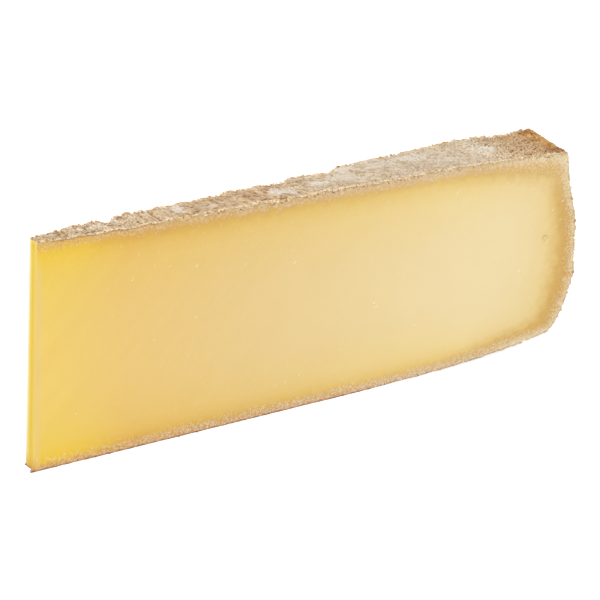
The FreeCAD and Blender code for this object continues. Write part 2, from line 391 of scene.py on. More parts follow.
    def top_z(self, x):
        """Height of the top rind over a place on a cut face."""
        rim = self.radius - TOP_SETBACK
        t = np.clip((x - TOP_FALL_START) / (rim - TOP_FALL_START), 0.0, 1.0)
        return self.height - TOP_FALL * t ** TOP_FALL_POWER

    def bottom_z(self, x):
        """Height of the underside under a place on a cut face."""
        t = np.clip((x - FLAT_RADIUS) / (self.radius - LOWER_SETBACK - FLAT_RADIUS), 0.0, 1.2)
        early = FIRST_RISE * (1.0 - np.exp(-np.clip(x - FLAT_RADIUS, 0.0, None) / FIRST_RISE_LENGTH))
        return early + (EDGE_RISE - FIRST_RISE) * t ** EDGE_POWER

    def heel_x(self, z, y):
        """How far out the heel stands at a height on a cut face."""
        up = self.radius - self.heel_setback(np.clip(z, FULLEST_HEIGHT, self.height))
        down = np.clip((FULLEST_HEIGHT - z) / (FULLEST_HEIGHT - EDGE_RISE), 0.0, 1.0)
        square = (1.0 - down ** LOWER_SQUARENESS) ** (1.0 / LOWER_SQUARENESS)
        low = self.radius - LOWER_SETBACK * (1.0 - square)
        round_off = self.radius - np.sqrt(self.radius ** 2 - y ** 2)
        return np.where(z > FULLEST_HEIGHT, up, low) + SQUINT * y - round_off

    def band(self, x, y, z):
        """Depth under the rind, in millimetres of the thin band along the top: the same stage of
        ripening lies deeper at the heel and at the corners, so depths there count for less."""
        top_scale = 1.0 + 0.2 * ease(x, 245.0, 270.0) + 0.6 * ease(x, 268.0, 308.0)
        low_scale = 0.90 + 0.35 * ease(x, 250.0, 300.0)
        heel_scale = 1.45 + 0.5 * ease(85.0 - z, 0.0, 60.0)
        top = (self.top_z(x) - z) / top_scale
        low = (z - self.bottom_z(x)) / low_scale
        heel = (self.heel_x(z, y) - x) / heel_scale
        soft = 1.6
        total = np.exp(-top / soft) + np.exp(-low / soft) + np.exp(-heel / soft)
        return -soft * np.log(total)


def to_row_frame(points):
    """Millimetres in the wheel's frame to metres in the row frame."""
    middle = (WEDGE_LOW + WEDGE_HIGH) / 2.0
    moved = np.array(points, float)
    moved[:, 0] += AXIS_FROM_MIDDLE_X
    moved[:, 1] += AXIS_FROM_MIDDLE_Y
    moved *= METRES_IN_MM
    moved[:, 0] += middle.x
    moved[:, 1] += middle.y
    return moved


def finish_piece(name, points, faces, masks, material):
    """Makes a closed mesh piece from points in the wheel's frame, its masks and its material."""
    mesh = bpy.data.meshes.new(name)
    mesh.from_pydata(to_row_frame(points).tolist(), [], faces)
    mesh.validate()
    work = bmesh.new()
    work.from_mesh(mesh)
    bmesh.ops.recalc_face_normals(work, faces=work.faces)
    open_edges = sum(1 for edge in work.edges if not edge.is_manifold)
    work.to_mesh(mesh)
    work.free()
    if open_edges:
        raise RuntimeError("%s has %d open edges" % (name, open_edges))
    for mask, values in masks.items():
        attribute = mesh.attributes.new(mask, "FLOAT", "POINT")
        attribute.data.foreach_set("value", np.asarray(values, np.float32))
    mesh.polygons.foreach_set("use_smooth", [True] * len(mesh.polygons))
    mesh.materials.append(material)
    piece = bpy.data.objects.new(name, mesh)
    bpy.context.scene.collection.objects.link(piece)
    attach(piece, "root")
    return piece


def grid_faces(rows, columns, start=0, closed_rows=False):
    """Four-sided faces over a grid of points numbered row by row."""
    faces = []
    last = rows if closed_rows else rows - 1
    for k in range(last):
        here = start + k * columns
        there = start + ((k + 1) % rows) * columns
        for j in range(columns - 1):
            faces.append((here + j, here + j + 1, there + j + 1, there + j))
    return faces


# ---------------------------------------------------------------- the paste

RING_INSET = 0.35          # the paste starts this far under the rind's surface
RING_ROUND = 0.3           # rounding of the paste's cut edges
RING_STEPS = (0.0, 0.08, 0.18, 0.32)
ROWS_OVER_TIP = 190        # rows up the trimmed tip, which keep this far from the rind at both ends
TIP_MARGIN = 0.35
TIP_MIDDLE = 53.0          # about where the trimmed tip stands, to start from
CREVICE = ((59.0, 64.0), (104.0, 113.0))   # where a crevice runs under the rind's lip near the tip
EYE_CLEAR = 2.7            # round the eye the face's own points give way to rings of them
EYE_RINGS = (0.2, 2.4, 8)  # the smallest ring, the largest, and how many

# the points inside a cut face: how deep the grainy and the brown band reach, how far apart the points
# stand in the middle, how far they are shaken, and where their rows start and end
GRAINY_DEPTH, BROWN_DEPTH = 7.5, 15.0
MIDDLE_STEP = 3.4
SHAKE = 0.22
FACE_START, FACE_LENGTH, FACE_HEIGHT = 45.0, 300.0, 120.0


def cut_relief(x, z, band, wave_size, seed):
    """How far a cut stands proud of its plane: the knife's faint waves, and torn grains under the rind."""
    grainy = fade(band + 1.2 * noise(x, z, 2.2, seed + 2), 3.4, 6.0)
    grains = 0.10 * noise(x, z, 0.9, seed + 4) + 0.05 * noise(x, z, 2.4, seed + 6)
    return 0.07 * rough(x, z, wave_size, seed, 2) + grainy * grains


def front_cut(wheel, x, z):
    """The front cut: its plane, with a crevice under the rind's lip near the tip and one small eye."""
    relief = cut_relief(x, z, wheel.band(x, wheel.front_y(x), z), 34.0, 3)
    depth = wheel.top_z(x) - z
    relief -= 0.45 * within(x, CREVICE) * bell(depth, 0.95 + 0.15 * noise(x, 0.0, 3.0, 13), 0.38)
    from_eye = np.hypot(x - EYE_AT, z - EYE_HEIGHT)
    bowl = np.sqrt(np.clip(EYE_RADIUS ** 2 - from_eye ** 2, 0.0, None)) - (EYE_RADIUS - EYE_DEPTH)
    relief -= np.clip(bowl, 0.0, None) * (1.0 + 0.3 * noise(x, z, 0.8, 15))
    return wheel.front_y(x) - relief


def back_cut(wheel, x, z):
    """The back cut: its leaning plane, as the knife and the torn grains leave it."""
    plane = wheel.back_y(x, z)
    return plane + cut_relief(x, z, wheel.band(x, plane, z), 30.0, 103)


def face_samples(wheel, plane, outline, fine):
    """Points inside a cut face, in shaken rows: close together in the grainy band, wider apart in the
    brown one and widest in the middle."""
    found = []
    steps = [(fine, 0.0, GRAINY_DEPTH), (2.2 * fine, GRAINY_DEPTH, BROWN_DEPTH),
             (MIDDLE_STEP, BROWN_DEPTH, math.inf)]
    for step, nearest, farthest in steps:
        rise = step * 0.866
        rows = int(FACE_HEIGHT / rise)
        j, i = np.meshgrid(np.arange(rows), np.arange(int(FACE_LENGTH / step)), indexing="ij")
        x = FACE_START + step * (i + 0.5 * (j % 2)) + step * SHAKE * (cell_random(i, j, 31) - 0.5)
        z = rise * j + step * SHAKE * (cell_random(i, j, 32) - 0.5)
        x, z = x.ravel(), z.ravel()
        y = plane(x, z)
        top = wheel.top_z(x) - z
        low = z - wheel.bottom_z(x)
        heel = wheel.heel_x(z, y) - x
        depth = np.minimum(np.minimum(top, low), heel)
        clear = RING_INSET + 0.55 * step + 0.25
        tip = x - wheel.tip_x(y, z)
        keep = (depth > max(nearest, clear)) & (depth <= farthest) & (tip > RING_ROUND + 0.45 * step)
        found.append(np.stack([x[keep], z[keep]], 1))
    eye_rings = []
    for ring in np.linspace(*EYE_RINGS):
        count = max(6, int(ring * 16))
        turn = 2.0 * math.pi * np.arange(count) / count
        eye_rings.append(np.stack([EYE_AT + ring * np.cos(turn), EYE_HEIGHT + ring * np.sin(turn)], 1))
    found = np.concatenate(found)
    away = np.hypot(found[:, 0] - EYE_AT, found[:, 1] - EYE_HEIGHT)
    found = np.concatenate([found[away > EYE_CLEAR]] + eye_rings)
    return found[inside_outline(found, outline)]


def inside_outline(points, outline):
    """True for points well inside a closed outline given as x, z pairs."""
    xs, zs = points[:, 0], points[:, 1]
    inside = np.zeros(len(points), bool)
    following = np.roll(outline, -1, axis=0)
    for (ax, az), (bx, bz) in zip(outline, following):
        low, high = min(az, bz), max(az, bz)
        rows = np.nonzero((zs > low) & (zs <= high))[0]
        if len(rows):
            crossing = ax + (zs[rows] - az) * (bx - ax) / (bz - az)
            inside[rows[xs[rows] < crossing]] ^= True
    return inside


def fill_face(outline, samples):
    """Triangles over an outline and the points inside it."""
    count = len(outline)
    points = [Vector((float(a), float(b))) for a, b in np.concatenate([outline, samples])]
    edges = [(i, (i + 1) % count) for i in range(count)]
    _, _, faces, origin, _, _ = delaunay_2d_cdt(points, edges, [], 1, 1e-6)
    back = [source[0] for source in origin]
    return [tuple(back[i] for i in face) for face in faces]


def paste_columns(width):
    """Places across the paste, from cut to cut, close together at both edges."""
    steps = np.array(RING_STEPS)
    inner = steps[-1] + (width - 2.0 * steps[-1]) * np.linspace(0.0, 1.0, 11)[1:-1]
    low = np.broadcast_to(steps, (width.shape[0], len(steps)))
    return np.concatenate([low, inner, width - low[:, ::-1]], 1)


def edge_rounding(columns):
    """How far each column is drawn in, so that the two cut edges are round."""
    steps = np.array(RING_STEPS)
    from_edge = np.minimum(np.arange(columns), np.arange(columns)[::-1])
    edge = steps[np.clip(from_edge, 0, len(steps) - 1)]
    edge = np.where(from_edge >= len(steps) - 1, RING_ROUND, edge)
    return RING_ROUND - np.sqrt(np.clip(RING_ROUND ** 2 - (RING_ROUND - edge) ** 2, 0.0, None))


def paste_under_crust(wheel):
    """Rows of points just under the rind, from the tip's top over the heel to the tip's foot."""
    at, out, height = wheel.stations(lambda a: np.where(a > 430.0, 0.9, 0.55))
    keep = (at > at[0] + 0.9) & (at < at[-1] - 0.9)
    _, x, y, z = wheel.spread(out[keep], height[keep], lambda width: paste_columns(width[:, :1]))
    dx, dz = np.gradient(x, axis=0), np.gradient(z, axis=0)
    down = RING_INSET + edge_rounding(x.shape[1])
    size = np.hypot(dx, dz)
    x, z = x + dz / size * down, z - dx / size * down
    return x, y, wheel.nicked(x, y, z, RING_INSET)


def paste_over_tip(wheel, low, high):
    """Rows of points over the trimmed tip, from just above its foot to just under the top rind."""
    rise = np.linspace(0.0, 1.0, ROWS_OVER_TIP)[:, None]
    z = low + TIP_MARGIN + (high - low - 2.0 * TIP_MARGIN) * rise
    x = np.full_like(z, TIP_MIDDLE)
    for _ in range(4):
        front = wheel.front_y(x[:, :1])
        y = front + paste_columns(wheel.back_y(x[:, -1:], z[:, -1:]) - front)
        x = wheel.tip_x(y, z)
    aside = y + 40.0
    waves = 0.06 * noise(aside * 1.4, z, 14.0, 41) + 0.03 * noise(aside, z, 4.0, 43)
    waves += 0.05 * noise(aside, z, 1.1, 45) * fade(wheel.height - z, 2.0, 5.0)
    return x + edge_rounding(x.shape[1]) + waves, y, z


def paste_masks(wheel, points, on_tip):
    """What the paste's material needs to know at each point."""
    x, y, z = points.T
    front, back = wheel.front_y(x), wheel.back_y(x, z)
    from_eye = np.hypot(x - EYE_AT, z - EYE_HEIGHT) + 0.4 * noise(x, z, 1.1, 17)
    return {
        "band": np.clip(wheel.band(x, y, z), 0.0, 60.0),
        "reach": x,
        "rise": z,
        # how far behind the tip's edge, for painted shade where less light comes through the paste
        "from_tip": x - wheel.tip_x(y, z),
        "across": np.clip((y - front) / (back - front), 0.0, 1.0),
        # the small eye, which the paste's material darkens with painted shade in its hollow
        "eye": fade(from_eye, 1.0, 2.5) * (y < 0.5 * (front + back)),
        "on_tip": on_tip,
    }


def build_paste(wheel, material):
    """The paste: one closed body from cut face to cut face, from the trimmed tip out to the rind."""
    crust_side = paste_under_crust(wheel)
    tip_side = paste_over_tip(wheel, crust_side[2][-1:, :], crust_side[2][0:1, :])
    x, y, z = (np.concatenate(pair) for pair in zip(crust_side, tip_side))
    on_tip = np.concatenate([np.zeros_like(crust_side[0]), np.ones_like(tip_side[0])])
    on_tip[:, [0, -1]] = 0.0
    # the cut faces own the ring's first and last columns
    y[:, 0] = front_cut(wheel, x[:, 0], z[:, 0])
    y[:, -1] = back_cut(wheel, x[:, -1], z[:, -1])
    rows, columns = x.shape
    points = [np.stack([x.ravel(), y.ravel(), z.ravel()], 1)]
    faces = grid_faces(rows, columns, closed_rows=True)
    count = rows * columns
    for column, cut, plane, fine in ((0, front_cut, lambda a, b: wheel.front_y(a), 0.55),
                                     (columns - 1, back_cut, wheel.back_y, 0.8)):
        outline = np.stack([x[:, column], z[:, column]], 1)
        samples = face_samples(wheel, plane, outline, fine)
        across, up = samples.T
        points.append(np.stack([across, cut(wheel, across, up), up], 1))
        # a face's outline is the ring's own column, and the points inside it follow on
        numbers = [*range(column, rows * columns, columns), *range(count, count + len(samples))]
        faces += [tuple(numbers[i] for i in face) for face in fill_face(outline, samples)]
        count += len(samples)
    points = np.concatenate(points)
    on_tip = np.concatenate([on_tip.ravel(), np.zeros(count - on_tip.size)])
    piece = finish_piece("paste", points, faces, paste_masks(wheel, points, on_tip), material)
    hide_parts("comte_wedge")


# ---------------------------------------------------------------- the rind

INNER_EVERY = 8            # one inner column for this many outer ones
OUTER_COLUMNS = 64
WALL_DEPTHS = (0.30, 0.62)     # rows down each cut edge of the crust, as shares of its thickness

# Where the rind's marks come up and die away again, by distance along its section: out over the top,
# down the heel and back along the underside.
CLOTH_END = (150.0, 205.0)
FLAKY = ((118.0, 150.0), (205.0, 232.0))
WORN = ((195.0, 225.0), (258.0, 280.0))
GRAINY_START = (255.0, 280.0)
PEPPERY = ((278.0, 292.0), (300.0, 306.0))
TORN_LIP = ((60.0, 65.0), (104.0, 113.0))
LUMPY_START = (96.0, 116.0)
TOP_END = 311.0
CRUMBLY = (LUMPY_START, (TOP_END, 316.0))
HEEL_EDGE = ((308.0, 316.0), (420.0, 440.0))
UNDER_START = (430.0, 450.0)
FOOT_START = (452.0, 470.0)


def cloth_marks(along, side):
    """Fibres that the press cloth left across the rind, and the creases between its folds. Their tone follows
    their relief: painted highlight where the fibres stand up, painted shade in the creases.
    """
    slant = along + 0.28 * side + 0.8 * noise(along, side, 6.0, 53)
    fibres = noise(slant / 0.40, side / 1.1, 2.0, 55) + 0.8 * noise(slant / 0.25, side / 0.7, 2.0, 57)
    crease = np.abs(noise(slant, side / 1.6, 5.5, 58) + 0.25 * noise(along, side, 1.4, 59))
    crease = fade(crease, 0.02, 0.20)
    clothy = fade(along, *CLOTH_END)
    return (0.13 * fibres - 0.22 * crease) * clothy, (0.50 * fibres - 0.50 * crease) * clothy


def flake_marks(along, side):
    """Flaky plates and strokes, drawn out towards the heel. Their tone is painted shade along the plates'
    edges and painted highlight and shade on the strokes, following their relief.
    """
    flaky, worn = within(along, FLAKY), within(along, WORN)
    one, two = 0.905 * along - 0.427 * side, 0.427 * along + 0.905 * side
    plates = rough(one / 1.9, two, 2.3, 61, 2)
    strokes = noise(one / 2.6, two / 0.62, 1.0, 63)
    relief = 0.22 * (ease(plates, -0.12, 0.02) - 0.5) * flaky + 0.10 * strokes * (0.8 * flaky + 0.6 * worn)
    return relief, (0.55 * strokes - 0.6 * bell(plates, -0.10, 0.06)) * (0.8 * flaky + 0.5 * worn)


def skin_marks(along, side):
    """Fine speckle all over, and dark pepper at the thin end and next to the heel's rim."""
    speckle = noise(along, side, 0.8, 64)
    pepper = 0.10 + 0.35 * fade(along, 170.0, 210.0) + 0.75 * fade(along, 84.0, 125.0)
    pepper = noise(along, side, 0.55, 75) * (pepper + 0.9 * within(along, PEPPERY))
    tone = 0.45 * speckle * fade(along, *GRAINY_START) + 0.12 + pepper
    return 0.06 * speckle + 0.06 * pepper, tone


def grain_marks(along, side):
    """Grains near and over the heel, and small ones everywhere. Their tone is partly their own and partly
    painted: painted highlight on their domes, painted shade in the gaps between them.
    """
    grainy, under = ease(along, *GRAINY_START), ease(along, *UNDER_START)
    pulled = rough(along, side, 3.0, 67, 2)
    grain, pick = cells(along + 0.5 * pulled, side * 1.12, 1.15, 69)
    small, small_pick = cells(along, side, 0.75, 71)
    dome = fade(grain, 0.12, 0.70)
    relief = (0.55 * (0.25 + pick) * dome - 0.2) * grainy * (1.0 - 0.7 * under)
    relief += 0.10 * fade(small, 0.1, 0.7) * (0.4 + 0.6 * grainy)
    tone = (2.9 * dome * (0.4 + 0.9 * pick) - 1.15 + 0.7 * rough(along, side, 3.2, 73, 2)) * grainy
    tone += (0.8 * fade(small, 0.15, 0.7) - 0.35 + 0.5 * (small_pick - 0.5)) * (0.45 - 0.15 * grainy)
    return relief, tone


def rind_relief(along, side, rubbed, chip):
    """Relief of the rind's surface in millimetres, its tone, which is below 0 in the gaps and above 0
    on top, and its small pits. The tone is partly the rind's own and partly painted shade in the gaps and
    painted highlight on top."""
    still = 1.0 - 0.7 * rubbed
    relief = 0.22 * rough(along, side * 1.2, 5.2, 51, 2) * (1.0 - 0.4 * within(along, WORN))
    tone = np.zeros_like(along)
    for marks, kept in ((cloth_marks, still), (flake_marks, still), (skin_marks, 1.0), (grain_marks, 1.0)):
        raised, lightened = marks(along, side)
        relief += raised * kept
        tone += lightened
    distance, number = cells(along, side, 1.35, 65)
    pits = (number > 0.70) * fade(distance, 0.14, 0.36)
    pits = pits * (0.35 * within(along, FLAKY) + within(along, WORN))
    relief -= 0.26 * pits * (1.0 - 0.5 * rubbed) + chip
    return relief, tone * (1.0 - 0.35 * rubbed), pits


def rind_spacing(along):
    """Distance between rows: finest at the thin end of the top, widest underneath."""
    step = np.where(along < 205.0, 0.36, 0.42)
    return np.where(along > 318.0, 0.50, step) + 1.1 * ease(along, 425.0, 450.0)


def rind_surface(wheel, at, out, height):
    """The rind's plain surface from cut to cut, with its ragged lips, its ragged ends at the tip and
    the tongue that is left sticking out under the tip."""
    part = np.linspace(0.0, 1.0, OUTER_COLUMNS + 1)[None, :]
    ragged = 0.30 * rough(at, 3.0, 2.8, 81, 3) + 0.22 * noise(at, 0.0, 1.0, 83)
    ragged_back = 0.34 * rough(at, 9.0, 3.0, 85, 3) + 0.34 * noise(at, 0.0, 1.2, 87)
    torn = within(at, TORN_LIP)
    proud = (0.02 + ragged * (0.45 + 0.35 * torn) + 0.16 * torn)[:, None]
    proud_back = (0.05 + ragged_back)[:, None]

    def place(width):
        width = width[:, :1]
        plain = part * width
        return plain - proud * fade(plain, 0.0, 1.5) + proud_back * fade(width - plain, 0.0, 1.5)

    real, x, y, z = wheel.spread(out, height, place)
    end_top = ease(TIP_ROWS_START + 2.5 - at, 0.0, 2.5)[:, None]
    end_low = ease(at - (at[-1] - 2.5), 0.0, 2.5)[:, None]
    ends = 0.22 * noise(y, 4.0, 0.9, 91)
    x = x + end_top * (0.28 + ends) - end_low * (0.05 + ends)
    reach = np.clip(TONGUE_RADIUS ** 2 - (y - TONGUE_Y) ** 2, 0.0, None)
    outward = np.clip(wheel.tip_x(y, 0.0) - TONGUE_X + np.sqrt(reach), 0.0, None) * (reach > 0.0)
    low_row = (height < 1.0)[:, None] & (real < TIP_ROWS_END)
    x = x - np.where(low_row, outward * fade(real, 53.0, 62.0), 0.0)
    return real, x, y, z


def rubbed_and_chipped(x, y, on_top):
    """How far each place on the top rind is rubbed smooth, and how deep it is chipped."""
    rubbed, chip = np.zeros_like(x), np.zeros_like(x)
    for cx, cy, half_length, half_width, strength in RUBBED:
        far = np.hypot((x - cx) / half_length, (y - cy + 0.25 * (x - cx)) / half_width)
        far = far + 0.55 * noise(x, y, 2.4, 93) + 0.45 * noise(x, y, 0.9, 94)
        rubbed = np.maximum(rubbed, strength * fade(far, 0.45, 1.25) * on_top)
    for cx, cy, half_length, half_width, depth in CHIPS:
        far = np.hypot((x - cx) / half_length, (y - cy + 0.3 * (x - cx)) / half_width)
        far = far + 0.3 * noise(x, y, 0.9, 95)
        chip = np.maximum(chip, depth * fade(far, 0.55, 1.05) * on_top)
    return rubbed, chip


def lip_relief(relief, tone, along, y, z):
    """The surface close to the cuts: ragged at the back, lumpy in front, pressed flat at the heel, and
    smooth where the wedge stands."""
    on_top, on_heel = along < TOP_END, within(along, HEEL_EDGE)
    from_front, from_back = y - y[:, :1], y[:, -1:] - y
    near_back = fade(from_back, 0.0, 1.6) * on_top
    relief += near_back * (0.50 * noise(along, y * 0.4, 1.9, 89) + 0.36 * noise(along, y * 0.4, 0.85, 90))
    lumpy = fade(from_front, 0.2, 2.0) * ease(along, *LUMPY_START) * on_top
    lumpy *= 1.0 - 0.6 * ease(along, 225.0, 255.0)
    lumps = 0.6 * noise(along, y, 1.5, 84) + 0.7 * noise(along, y, 0.8, 86)
    relief += 0.34 * lumpy * lumps
    # painted light: the lumps are drawn lighter where they stand up and darker between them
    tone += 1.1 * lumpy * lumps
    by_front = fade(from_front, 0.6, 4.5) * on_heel
    relief -= 0.6 * by_front * np.maximum(relief, 0.0)
    tone += by_front * (0.75 + 0.8 * noise(along, y, 0.9, 96) - tone)
    bumps = 0.34 * noise(along, y * 0.4, 3.1, 88) + 0.55 * noise(along, y * 0.4, 1.2, 92) + 0.12
    relief += fade(from_front, 0.0, 1.3) * on_heel * bumps
    flat = ease(along, *FOOT_START) * (z < 0.6)
    relief = relief * (1.0 - flat) - 0.12 * flat * (1.0 - bell(noise(along, y, 3.0, 97), 0.0, 0.6))
    return relief, tone


def outward_from(surface):
    """Outward directions of a grid of points, from the grid itself."""
    normal = np.cross(np.gradient(surface, axis=0), np.gradient(surface, axis=1))
    return normal / (np.linalg.norm(normal, axis=-1, keepdims=True) + 1e-12)


def rind_skins(wheel, at, surface, normal, relief, thick):
    """The crust's outer and inner skin, and the rows of points down its two cut edges, which stand a
    little proud of the paste under them."""
    outer = surface + normal * relief[..., None]
    outer[..., 2] = wheel.nicked(outer[..., 0], outer[..., 1], outer[..., 2], 0.0)
    outer[..., 2] = np.maximum(outer[..., 2], 0.0)
    inner = surface - normal * thick[..., None]
    inner[..., 2] = wheel.nicked(inner[..., 0], inner[..., 1], inner[..., 2], wheel.crust)
    inner = inner[:, ::INNER_EVERY].copy()
    inner[:, 0, 1] += 0.9
    inner[:, -1, 1] -= 0.9
    walls = []
    for column, away in ((0, -1.0), (-1, 1.0)):
        for depth in WALL_DEPTHS:
            base = surface[:, column] - normal[:, column] * (thick[:, column] * depth)[:, None]
            p = base + normal[:, column] * (relief[:, column] * (1.0 - depth))[:, None]
            ragged = 0.05 * within(at, TORN_LIP) + 0.10 * noise(at, depth * 9.0, 0.7, 99)
            p[:, 1] += away * (0.03 + ragged)
            p[:, 2] = wheel.nicked(p[:, 0], p[:, 1], p[:, 2], wheel.crust * depth)
            p[:, 2] = np.maximum(p[:, 2], 0.0)
            walls.append(p)
    return outer, inner, walls


def rind_faces(rows, outer_count, inner_count):
    """Faces of the outer skin, the inner skin, the two cut edges and the two ends of the crust."""
    inner_start = rows * outer_count
    wall_start = inner_start + rows * inner_count
    edges = ((0, 0, 0), (1, outer_count - 1, inner_count - 1))

    def down_edge(k, side, outer_column, inner_column):
        return (k * outer_count + outer_column, wall_start + 2 * side * rows + k,
                wall_start + (2 * side + 1) * rows + k, inner_start + k * inner_count + inner_column)

    faces = grid_faces(rows, outer_count)
    faces += [face[::-1] for face in grid_faces(rows, inner_count, inner_start)]
    for edge in edges:
        for k in range(rows - 1):
            here, there = down_edge(k, *edge), down_edge(k + 1, *edge)
            faces += [(here[m], there[m], there[m + 1], here[m + 1]) for m in range(len(here) - 1)]
    for k in (0, rows - 1):
        for i in range(inner_count - 1):
            cap = [k * outer_count + i * INNER_EVERY + m for m in range(INNER_EVERY + 1)]
            cap += [inner_start + k * inner_count + i + 1, inner_start + k * inner_count + i]
            faces.append(tuple(cap))
        faces += [down_edge(k, *edge) for edge in edges]
    return faces


def rind_masks(along, y, tone, rubbed, pit, points):
    """What the rind's material needs to know at each point of its skins and its cut edges."""
    def carried(values):
        edges = [values[:, 0], values[:, 0], values[:, -1], values[:, -1]]
        return np.concatenate([values.ravel(), values[:, ::INNER_EVERY].ravel()] + edges)

    from_edge = np.minimum(y - y[:, :1], y[:, -1:] - y)
    from_edge = from_edge + within(along, CRUMBLY) * (0.9 * noise(along, y, 1.3, 82) - 0.5)
    lip = fade(from_edge, 0.15, 0.9).ravel()
    golden = ease(along + 6.5 * rough(along, y, 4.5, 98, 2) + 0.12 * y, 301.5, 305.5)
    return {
        "along": carried(along),
        # the tone holds painted shade in the rind's gaps and painted highlight on its raised tops, besides
        # its own tone
        "tone": carried(tone),
        "rubbed": carried(rubbed),
        "pit": carried(pit),
        "lip": np.concatenate([lip, np.ones(len(points) - len(lip))]),
        "golden": carried(golden * fade(along, 330.0, 352.0)),
        "rise": points[:, 2],
    }


def build_rind(wheel, material):
    """The rind: a closed crust over the top, the heel and the underside, with ragged cut edges."""
    at, out, height = wheel.stations(rind_spacing)
    real, x, y, z = rind_surface(wheel, at, out, height)
    along = np.broadcast_to(at[:, None], x.shape)
    rubbed, chip = rubbed_and_chipped(x, y, along < TOP_END)
    relief, tone, pits = rind_relief(along, y, rubbed, chip)
    relief, tone = lip_relief(relief, tone, along, y, z)
    surface = np.stack([x, y, z], -1)
    thick = wheel.crust * (0.68 + 0.32 * ease(real, 60.0, 78.0))
    outer, inner, walls = rind_skins(wheel, at, surface, outward_from(surface), relief, thick)
    points = np.concatenate([outer.reshape(-1, 3), inner.reshape(-1, 3)] + walls)
    faces = rind_faces(len(at), outer.shape[1], inner.shape[1])
    pit = np.clip(chip * 1.6 + pits, 0.0, 1.0)
    masks = rind_masks(along, y, tone, rubbed, pit, points)
    finish_piece("rind", points, faces, masks, material)


# ---------------------------------------------------------------- crumbs and crystals

# which share of the loose crumbs lies along each edge
FRONT_LIP_SHARE = 0.50
BACK_EDGE_SHARE = 0.24
HEEL_EDGE_SHARE = 0.10
LOWER_EDGE_SHARE = 0.12

# larger crumbs that stand up from the back edge: distance out, size, and 0 for dark to 1 for pale
LARGE_CRUMBS = [
    (60.4, 0.62, 0.80), (66.6, 0.85, 0.22), (74.5, 0.5, 0.5), (81.0, 0.55, 0.6),
    (96.5, 0.5, 0.3), (103.8, 0.75, 0.85), (112.0, 0.6, 0.4), (121.5, 0.55, 0.2),
    (131.0, 0.6, 0.25), (136.6, 0.8, 0.25), (152.0, 0.5, 0.6), (165.8, 0.6, 0.3),
    (177.0, 0.6, 0.2), (201.5, 0.75, 0.05), (226.0, 0.5, 0.7), (262.0, 0.5, 0.5),
]
# dark crumbs at the foot of the front cut: distance out and size
FOOT_CRUMBS = [(78.0, 0.30), (84.5, 0.34), (116.5, 0.46), (125.2, 0.42), (160.4, 0.30), (212.0, 0.32)]
CRYSTAL_MARGIN = 3.0       # crystals keep this far from the rind
CRYSTAL_SINK = 0.2         # how deep they are set in, as a share of their size


class Heap:
    """Uneven lumps that become one piece: where each lies, its size, and its place from 0 to 1 in its
    material's colours."""

    def __init__(self, seed):
        self.rng = np.random.default_rng(seed)
        self.lumps = []

    def add(self, place, size, tint):
        self.lumps.append((np.array(place), size, tint))

    def shapes(self, flat=1.0, unevenness=0.22, slant=0.0):
        """Points, faces and tints of all the lumps. They may be flattened against the cuts, and drawn
        out along the slanted way of the knife."""
        ball, ball_faces = small_ball()
        points, faces, tints = [], [], []
        for count, (place, size, tint) in enumerate(self.lumps):
            turn = Matrix.Rotation(self.rng.uniform(0, 6.28), 3, self.rng.normal(size=3))
            shape = ball * (1.0 + unevenness * self.rng.uniform(-1.0, 1.0, (len(ball), 1)))
            shape = shape * self.rng.uniform(0.65, 1.25, 3)
            shape = shape @ np.array(turn)
            shape[:, 1] *= flat
            shape[:, 0], shape[:, 2] = shape[:, 0] + slant * shape[:, 2], shape[:, 2] + slant * shape[:, 0]
            start = count * len(ball)
            points.append(place + shape * size)
            faces += [tuple(start + i for i in face) for face in ball_faces]
            tints.append(np.full(len(ball), tint))
        return np.concatenate(points), faces, np.concatenate(tints)


def small_ball():
    """Points and faces of a small round lump."""
    work = bmesh.new()
    bmesh.ops.create_icosphere(work, subdivisions=2, radius=1.0)
    points = np.array([v.co[:] for v in work.verts])
    faces = [tuple(v.index for v in f.verts) for f in work.faces]
    work.free()
    return points, faces


def top_edge(wheel, x, back, lift, outward):
    """A place on the top rind's front or back edge, lifted and moved outward by a little."""
    x = np.array([x])
    y = wheel.back_y(x, np.array([wheel.height])) if back else wheel.front_y(x)
    px, z = wheel.rind_point(x, wheel.top_z(x), y)
    return px[0], y[0] + outward, z[0] + lift


def front_lip_crumbs(wheel, heap, count):
    """Crumbs along the front lip of the top rind, fine near the tip and coarser beyond."""
    rng = heap.rng
    for _ in range(count):
        x = 57.0 + 254.0 * rng.uniform() ** 0.75
        coarse = float(ease(np.array(x), 92.0, 125.0))
        lift = rng.uniform(-0.5 - 0.9 * coarse, 0.05)
        size = rng.uniform(0.12, 0.24 + 0.16 * coarse)
        size *= 1.0 + 0.8 * coarse * (rng.uniform() > 0.88) * (x < 235.0)
        tint = rng.uniform() ** 0.65
        tint += 0.35 * (1.0 - tint) * (x < 98.0)
        heap.add(top_edge(wheel, x, False, lift, rng.uniform(-0.08, 0.25)), size, tint)


def back_edge_crumbs(wheel, heap, count):
    """Crumbs along the back edge of the top rind, except in its nick, and a few larger ones."""
    rng = heap.rng
    for _ in range(count):
        x = 57.0 + 251.0 * rng.uniform()
        if abs(x - NICK_AT) > NICK_RADIUS + 0.6:
            place = top_edge(wheel, x, True, rng.uniform(-0.25, 0.22), rng.uniform(-0.45, 0.10))
            heap.add(place, rng.uniform(0.20, 0.52), rng.uniform(0.15, 0.9))
    for x, size, tint in LARGE_CRUMBS:
        heap.add(top_edge(wheel, x, True, -0.05, -0.25), size, tint)


